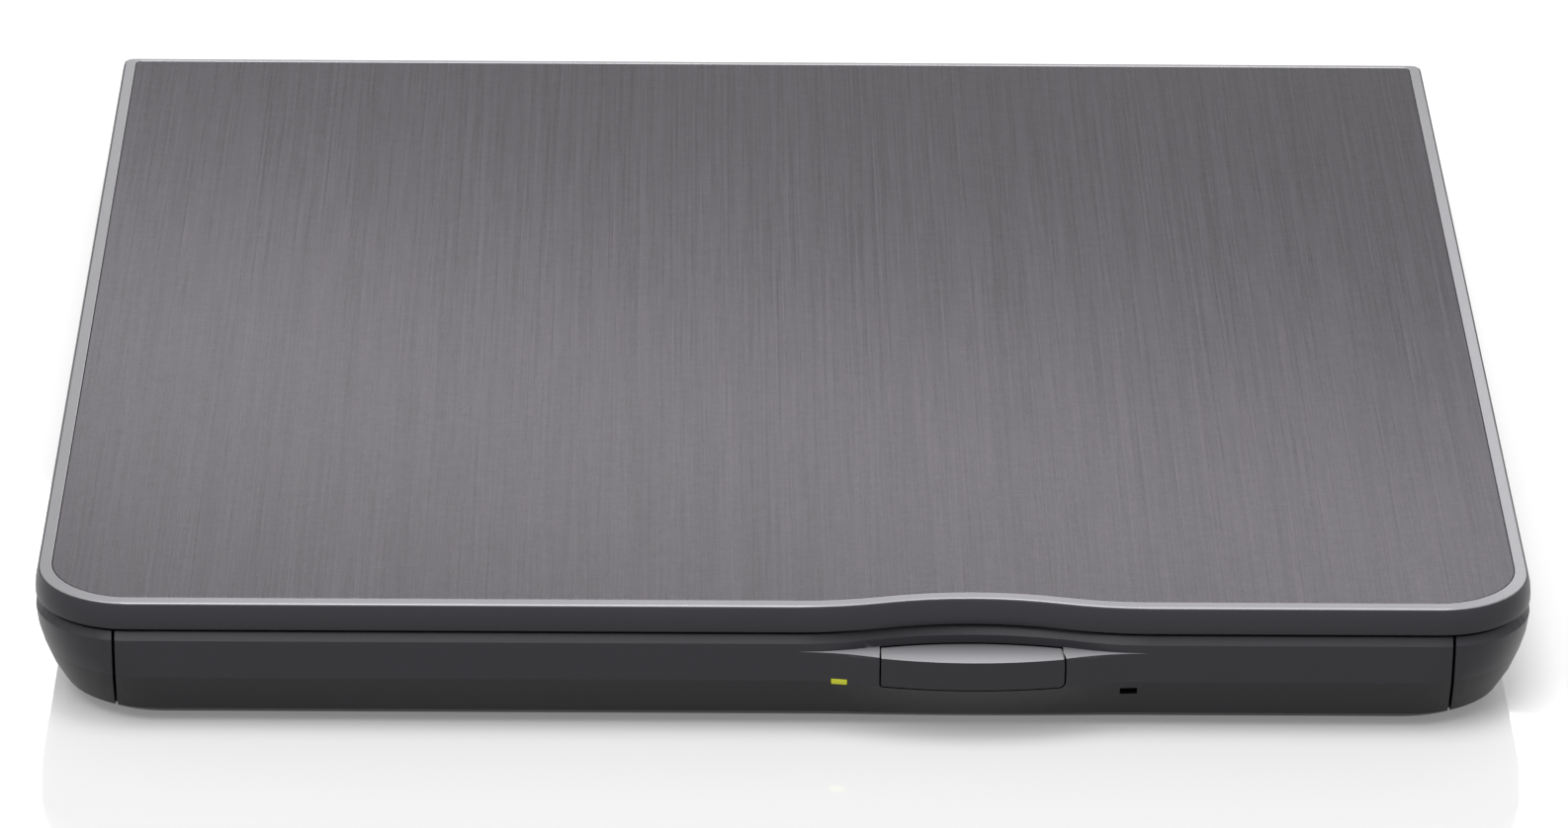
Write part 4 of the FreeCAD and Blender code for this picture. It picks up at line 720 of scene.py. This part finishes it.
def screw_tree():
    """A lead screw along X: a core with its journals and a thread that winds round it."""
    tree = Modelled("lead_screw", Radius="Float", Depth="Float", Pitch="Float", Journal="Float",
                    Start="Float", End="Float", Tail="Float", Turn="Vector", Place="Vector")
    size = tree.inputs
    span = tree.math("SUBTRACT", size["End"], size["Start"])
    turns = tree.math("DIVIDE", span, size["Pitch"])
    core = tree.math("SUBTRACT", size["Radius"], size["Depth"])
    tip = tree.math("SUBTRACT", size["End"], size["Tail"])
    rods = []
    for radius, start, end in ((size["Journal"], size["Tail"], tip), (core, size["Start"], size["End"])):
        first = tree.add("ShaderNodeCombineXYZ", {"Z": start})
        last = tree.add("ShaderNodeCombineXYZ", {"Z": end})
        line = tree.add("GeometryNodeCurvePrimitiveLine", {"Start": first.outputs[0], "End": last.outputs[0]})
        rods.append(tree.swept(line.outputs[0], tree.circle(radius, ROUND)))
    middle = tree.math("MULTIPLY_ADD", size["Depth"], -0.5, size["Radius"])
    helix = tree.add("GeometryNodeCurveSpiral", {"Resolution": ROUND, "Rotations": turns,
                                                 "Start Radius": middle, "End Radius": middle, "Height": span})
    upright = tree.add("GeometryNodeSetCurveNormal", {"Curve": helix.outputs[0]}, mode="Z_UP")
    width = tree.math("MULTIPLY", size["Pitch"], THREAD_CREST)
    crest = tree.add("GeometryNodeCurvePrimitiveQuadrilateral", {"Width": size["Depth"], "Height": width})
    ridge = tree.swept(upright.outputs[0], crest.outputs[0])
    lift = tree.add("ShaderNodeCombineXYZ", {"Z": size["Start"]})
    lifted = tree.add("GeometryNodeTransform", {"Geometry": ridge, "Translation": lift.outputs[0]})
    whole = tree.add("GeometryNodeJoinGeometry")
    for geometry in (*rods, lifted.outputs[0]):
        tree.feed(whole.inputs[0], geometry)
    placed = tree.add("GeometryNodeTransform", {"Geometry": whole.outputs[0], "Rotation": size["Turn"],
                                                "Translation": size["Place"]})
    return tree.finish(placed.outputs[0])


# Pieces

class DRIVE_OT_case(bpy.types.Operator):
    """Lower case with its curved-in sides, the rubber feet and the screws that hold the case"""
    bl_idname = "disc_drive.case"
    bl_label = "Lower Case"

    def execute(self, context):
        sizes = context.scene.drive_detail
        dress("lower_case", bevel=sizes.case_edge)
        dress("rubber_feet", bevel=sizes.case_edge)
        dress("case_screws", bevel=sizes.metal_edge)
        return {"FINISHED"}


class DRIVE_OT_cover(bpy.types.Operator):
    """Upper cover with its side band, the satin rim and the brushed plate inside it"""
    bl_idname = "disc_drive.cover"
    bl_label = "Upper Cover"

    def execute(self, context):
        sizes = context.scene.drive_detail
        dress("upper_cover", bevel=sizes.case_edge, crease=60.0)
        dress("trim_ring", bevel=sizes.plastic_edge)
        dress("top_plate", bevel=sizes.metal_edge)
        return {"FINISHED"}


class DRIVE_OT_front(bpy.types.Operator):
    """Tray bezel with its bowed button, status light and the switch behind them"""
    bl_idname = "disc_drive.front"
    bl_label = "Front"

    def execute(self, context):
        sizes = context.scene.drive_detail
        dress("tray_bezel", bevel=sizes.front_edge, crease=8.0, reshape=level_ledge)
        dress("eject_button", bevel=sizes.button_edge, segments=3, reshape=fit_button)
        dress("status_light", "status_lamp", "switch_plunger", bevel=sizes.metal_edge)
        dress("eject_switch", bevel=sizes.metal_edge)
        return {"FINISHED"}


def level_ledge(form):
    """Lifts the front of the ledge, which falls forward in the solids, to a gentler slope."""
    level = max(vert.co.z for vert in form.verts if vert.co.z < LEDGE_LEVEL + CLOSE)
    fall = bpy.context.scene.drive_detail.ledge_fall
    for vert in form.verts:
        ahead = BEZEL_FRONT - vert.co.y
        if ahead > 0 and abs(vert.co.z - LEDGE_LEVEL + ahead * LEDGE_SLOPE) < 1.5 * CLOSE:
            vert.co.z = level - ahead * fall


def fit_button(form):
    """The button's ledge made level, and a hair off its stem, which meets the switch at full travel."""
    level_ledge(form)
    back = max(vert.co.y for vert in form.verts)
    for vert in form.verts:
        if back - vert.co.y < CLOSE:
            vert.co.y -= STEM_CUT


class DRIVE_OT_shell(bpy.types.Operator):
    """Sheet metal pan and lid of the drive inside, with its rails and guides"""
    bl_idname = "disc_drive.shell"
    bl_label = "Drive Shell and Rails"

    def execute(self, context):
        sizes = context.scene.drive_detail
        dress("drive_chassis", "drive_lid", "rail_left", "rail_right", bevel=sizes.metal_edge)
        dress("rail_guide_left", "rail_guide_right", bevel=sizes.plastic_edge)
        dress("lock_pin", bevel=sizes.metal_edge)
        return {"FINISHED"}


class DRIVE_OT_tray(bpy.types.Operator):
    """Disc tray, the sheet below it and the cover round the turntable"""
    bl_idname = "disc_drive.tray"
    bl_label = "Disc Tray"

    def execute(self, context):
        sizes = context.scene.drive_detail
        dress("disc_tray", bevel=sizes.plastic_edge)
        dress("tray_bottom_cover", "traverse_cover", "traverse_frame", bevel=sizes.metal_edge)
        dress("dampers", "damper_screws", bevel=sizes.metal_edge)
        return {"FINISHED"}


class DRIVE_OT_spindle(bpy.types.Operator):
    """Spindle motor with wound coils, the turntable, its friction ring and its three sprung claws"""
    bl_idname = "disc_drive.spindle"
    bl_label = "Spindle"

    def execute(self, context):
        sizes = context.scene.drive_detail
        dress("spindle_base", "rotor", bevel=sizes.metal_edge)
        dress("turntable", "friction_ring", bevel=sizes.plastic_edge)
        dress("disc_claw_1", "disc_claw_2", "disc_claw_3", bevel=sizes.metal_edge)
        dress("stator", bevel=sizes.metal_edge)
        wind_coils(sizes)
        return {"FINISHED"}


def wind_coils(sizes):
    """Copper wire round each of the stator's teeth."""
    low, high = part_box("stator")
    reach = (high.x - low.x) / 2
    middle = (low.z + high.z) / 2
    wire = sizes.winding_wire
    radius = (high.z - low.z) / 2 - COIL_MARGIN - wire * 0.2
    tree = coil_tree()
    coils = []
    for tooth in range(STATOR_TEETH):
        turn = TRAY_TURN + math.tau / STATOR_TEETH * tooth
        out = Vector((math.cos(turn), math.sin(turn), 0))
        place = SPINDLE + out * reach * COIL_OUT + Vector((0, 0, middle))
        coils.append(modelled("coil_%d" % (tooth + 1), tree, surface("stator_copper"), Radius=radius,
                              Height=reach * COIL_RUN, Turns=float(sizes.coil_turns), Wire=wire / 2,
                              Turn=(0, math.pi / 2, turn), Place=place))
    coils = joined(coils, "stator_coils")
    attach(coils, "tray")


def joined(pieces, name):
    """One mesh from several pieces that sit at the origin."""
    form = bmesh.new()
    for piece in pieces:
        form.from_mesh(piece.data)
    mesh = bpy.data.meshes.new(name)
    form.to_mesh(mesh)
    form.free()
    mesh.materials.append(pieces[0].data.materials[0])
    for piece in pieces:
        bpy.data.objects.remove(piece)
    return added(name, mesh)


class DRIVE_OT_pickup(bpy.types.Operator):
    """Laser pickup on its two shafts, with the threaded lead screw and the sled motor that drive it"""
    bl_idname = "disc_drive.pickup"
    bl_label = "Pickup"

    def execute(self, context):
        sizes = context.scene.drive_detail
        dress("pickup_carriage", "screw_follower", bevel=sizes.plastic_edge)
        dress("lens_actuator", "sled_motor", "motor_bracket", bevel=sizes.metal_edge)
        dress("objective_lens", crease=50.0)
        dress("main_shaft", "sub_shaft", bevel=sizes.metal_edge)
        cut_thread(sizes)
        return {"FINISHED"}


def cut_thread(sizes):
    """The lead screw with its thread, in place of the plain one."""
    screw = modelled("lead_screw_thread", screw_tree(), surface("shaft_steel"), Depth=sizes.thread_depth,
                     Pitch=sizes.thread_pitch, Turn=(0, math.pi / 2, TRAY_TURN),
                     Place=tray_place(*SCREW_PLACE), **SCREW)
    keep_on(screw, "lead_screw")


class DRIVE_OT_latch(bpy.types.Operator):
    """Latch with its solenoid, and the ejector, both with wound wire springs"""
    bl_idname = "disc_drive.latch"
    bl_label = "Latch and Ejector"

    def execute(self, context):
        sizes = context.scene.drive_detail
        dress("latch_lever", "solenoid", "ejector_pusher", bevel=sizes.plastic_edge)
        dress("solenoid_plunger", bevel=sizes.metal_edge)
        tree = coil_tree()
        wind_spring(tree, "latch_spring", sizes.latch_wire, LATCH_TURNS, 2, (0, 0, 0))
        wind_spring(tree, "ejector_spring", sizes.spring_wire, EJECTOR_TURNS, 1, (-math.pi / 2, 0, 0))
        return {"FINISHED"}


def wind_spring(tree, node, wire, turns, axis, turn):
    """A wire spring that fills its node's box and runs along one axis of it."""
    low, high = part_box(node)
    start = (low + high) / 2
    start[axis] = low[axis] + wire / 2
    spring = modelled(node + "_coil", tree, surface("spring_steel"), Radius=(high.x - low.x - wire) / 2,
                      Height=high[axis] - low[axis] - wire, Turns=turns, Wire=wire / 2, Turn=turn,
                      Place=start)
    keep_on(spring, node)


class DRIVE_OT_boards(bpy.types.Operator):
    """Circuit boards with leaded chips, the connectors and the flat cables"""
    bl_idname = "disc_drive.boards"
    bl_label = "Boards and Cables"

    def execute(self, context):
        sizes = context.scene.drive_detail
        dress("main_board", "rear_board", "bridge_board", bevel=sizes.metal_edge)
        dress("board_chips", "bridge_chips", bevel=sizes.metal_edge)
        dress("board_screws", "bridge_screws", bevel=sizes.metal_edge)
        dress("data_plug", "data_socket", "usb_socket", bevel=sizes.metal_edge)
        add_leads("board_chips", sizes)
        add_leads("bridge_chips", sizes)
        add_contacts()
        dress("tray_flex")
        unroll_flex()
        return {"FINISHED"}


def add_leads(node, sizes):
    """Leads along the long sides of the larger chips."""
    leads = []
    for low, high in islands(node):
        size = high - low
        if min(size.x, size.y) < LEADED_CHIP:
            continue
        for axis, other in ((0, 1), (1, 0)):
            if size[axis] < size[other] - SQUARE_CHIP:
                continue
            count = int((size[axis] - LEAD_MARGIN) / sizes.lead_pitch)
            start = (low[axis] + high[axis]) / 2 - (count - 1) * sizes.lead_pitch / 2
            for index in range(count):
                for edge in (low[other] - LEAD_REACH, high[other] + LEAD_REACH):
                    place = Vector((0, 0, low.z + LEAD_HEIGHT / 2))
                    place[axis] = start + index * sizes.lead_pitch
                    place[other] = edge
                    leads.append((place, math.pi / 2 if axis else 0.0))
    piece = modelled(node + "_leads", block_tree(), surface("rail_steel"),
                     points_mesh(node + "_points", leads), Size=(sizes.lead_width, LEAD_LENGTH, LEAD_HEIGHT))
    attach(piece, NODES[node]["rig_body"])


def add_contacts():
    """Contacts in the socket at the back."""
    low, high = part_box("usb_socket")
    middle = (low + high) / 2
    first = middle.x - (USB_CONTACTS - 1) / 2 * USB_PITCH
    contacts = [(Vector((first + index * USB_PITCH, high.y - USB_DEPTH, middle.z - USB_DROP)), 0.0)
                for index in range(USB_CONTACTS)]
    usb = modelled("usb_contacts", block_tree(), surface("stator_copper"),
                   points_mesh("usb_points", contacts), Size=USB_CONTACT)
    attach(usb, "housing")


def unroll_flex():
    """The flat cable as one merged mesh with its finish, in place of the CAD one; it is not attached to a body.
    """
    cable = skin("flex_cable", welded("flex_cable"))
    paint(cable, SLOT_OF["flex_cable"])
    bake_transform(cable)
    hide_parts("flex_cable")


# Stage

class DRIVE_OT_stage(bpy.types.Operator):
    """Pale floor, white surroundings, soft lamps and the camera"""
    bl_idname = "disc_drive.stage"
    bl_label = "Stage"

    def execute(self, context):
        stage = context.scene.drive_stage
        lay_floor(stage)
        light_room(context.scene, stage)
        for name, (place, size) in LAMPS.items():
            add_lamp(name + "_lamp", getattr(stage, name), place, size)
        aim_camera(context.scene)
        return {"FINISHED"}


def white_for_sight(tree, matt):
    """A strength that is full for the camera, in reflections and through glass, and less elsewhere."""
    path = tree.add("ShaderNodeLightPath").outputs
    seen = tree.math("MAXIMUM", path["Is Camera Ray"], path["Is Glossy Ray"])
    seen = tree.math("MAXIMUM", seen, path["Is Transmission Ray"])
    return tree.math("MULTIPLY_ADD", seen, 1.0 - matt, matt)


def lay_floor(stage):
    """A pale floor with a sheen for the camera. The drive sees it pale in its gloss and dark otherwise."""
    half = stage.floor_width / 2
    mesh = bpy.data.meshes.new("floor")
    corners = [(-half, -half, 0), (half, -half, 0), (half, half, 0), (-half, half, 0)]
    mesh.from_pydata(corners, [], [(0, 1, 2, 3)])
    floor = added("floor", mesh)
    material = bpy.data.materials.new("floor")
    material.use_nodes = True
    tree = Tree(material.node_tree)
    path = tree.add("ShaderNodeLightPath").outputs
    mirrored = tree.math("MAXIMUM", path["Is Glossy Ray"], path["Is Transmission Ray"])
    glow = tree.math("MULTIPLY", mirrored, stage.floor_glow)
    shade = tree.math("MULTIPLY_ADD", mirrored, stage.floor - stage.floor_bounce, stage.floor_bounce)
    matt = tree.add("ShaderNodeBsdfPrincipled", {"Base Color": shade, "Roughness": 1.0,
                                                 "Specular IOR Level": 0.0, "Emission Color": WHITE,
                                                 "Emission Strength": glow})
    pale = (stage.floor, stage.floor, stage.floor, 1)
    glossy = tree.add("ShaderNodeBsdfPrincipled", {"Base Color": pale, "Roughness": 0.03, "IOR": 1.9,
                                                   "Emission Color": WHITE,
                                                   "Emission Strength": stage.floor_glow})
    mixed = tree.add("ShaderNodeMixShader", {0: path["Is Camera Ray"], 1: matt.outputs[0],
                                             2: glossy.outputs[0]})
    clear = tree.add("ShaderNodeBsdfTransparent")
    under = tree.add("ShaderNodeNewGeometry").outputs["Backfacing"]
    mixed = tree.add("ShaderNodeMixShader", {0: under, 1: mixed.outputs[0], 2: clear.outputs[0]})
    tree.feed(material.node_tree.nodes["Material Output"].inputs["Surface"], mixed.outputs[0])
    mesh.materials.append(material)


def light_room(scene, stage):
    world = bpy.data.worlds.new("room")
    world.use_nodes = True
    scene.world = world
    tree = Tree(world.node_tree)
    room = world.node_tree.nodes["Background"]
    tree.feed(room.inputs["Color"], WHITE)
    tree.feed(room.inputs["Strength"], white_for_sight(tree, stage.sky))


def add_lamp(name, strength, place, size):
    """A soft lamp that shines on the drive and isn't seen itself."""
    lamp_data = bpy.data.lights.new(name, "AREA")
    lamp_data.energy = strength
    lamp_data.shape = "RECTANGLE"
    lamp_data.size, lamp_data.size_y = size
    lamp_object = added(name, lamp_data)
    lamp_object.location = place
    lamp_object.rotation_euler = (-Vector(place)).to_track_quat("-Z", "Y").to_euler()
    lamp_object.visible_camera = False


def aim_camera(scene):
    """The photographed view: a long lens, a little left of the middle, looking down at 24 degrees."""
    tilt, turn, roll = CAMERA_TILT, CAMERA_TURN, CAMERA_ROLL
    side = Vector((math.cos(turn), -math.sin(turn), 0))
    rise = Vector((math.sin(turn) * math.sin(tilt), math.cos(turn) * math.sin(tilt), math.cos(tilt)))
    ahead = Vector((math.sin(turn) * math.cos(tilt), math.cos(turn) * math.cos(tilt), -math.sin(tilt)))
    place = side * CAMERA_SIDE - rise * CAMERA_DROP - ahead * CAMERA_DISTANCE + CAMERA_TARGET
    right = side * math.cos(roll) + rise * math.sin(roll)
    up = rise * math.cos(roll) - side * math.sin(roll)
    lens = bpy.data.cameras.new("camera")
    lens.sensor_width = SENSOR
    lens.lens = PHOTO_FOCUS / PHOTO_WIDTH * SENSOR
    lens.clip_start = 0.05
    lens.clip_end = 20
    camera = added("camera", lens)
    turned = Matrix((right, up, -ahead)).transposed().to_4x4()
    camera.matrix_world = Matrix.Translation(place) @ turned
    scene.camera = camera
    scene.view_settings.view_transform = "Standard"


# Panel and registration

PIECES = (DRIVE_OT_case, DRIVE_OT_cover, DRIVE_OT_front, DRIVE_OT_shell, DRIVE_OT_tray, DRIVE_OT_spindle,
          DRIVE_OT_pickup, DRIVE_OT_latch, DRIVE_OT_boards, DRIVE_OT_stage)


class DRIVE_PT_panel(bpy.types.Panel):
    bl_idname = "DRIVE_PT_panel"
    bl_label = "Disc Drive"
    bl_space_type = "VIEW_3D"
    bl_region_type = "UI"
    bl_category = "Disc Drive"

    def draw(self, context):
        column = self.layout.column()
        for operator in PIECES:
            column.operator(operator.bl_idname)
        for settings in SETTINGS:
            group = getattr(context.scene, settings)
            box = column.box()
            for key in group.__annotations__:
                box.prop(group, key)


SETTINGS = {"drive_finish": DriveFinish, "drive_detail": DriveDetail, "drive_stage": DriveStage}


def register():
    for kind in (*SETTINGS.values(), *PIECES, DRIVE_PT_panel):
        bpy.utils.register_class(kind)
    for key, kind in SETTINGS.items():
        setattr(bpy.types.Scene, key, PointerProperty(type=kind))


def unregister():
    for key in SETTINGS:
        delattr(bpy.types.Scene, key)
    for kind in (DRIVE_PT_panel, *reversed(PIECES), *SETTINGS.values()):
        bpy.utils.unregister_class(kind)


def main():
    register()
    for operator in PIECES:
        group, key = operator.bl_idname.split(".")
        getattr(getattr(bpy.ops, group), key)()


if __name__ == "__main__":
    main()
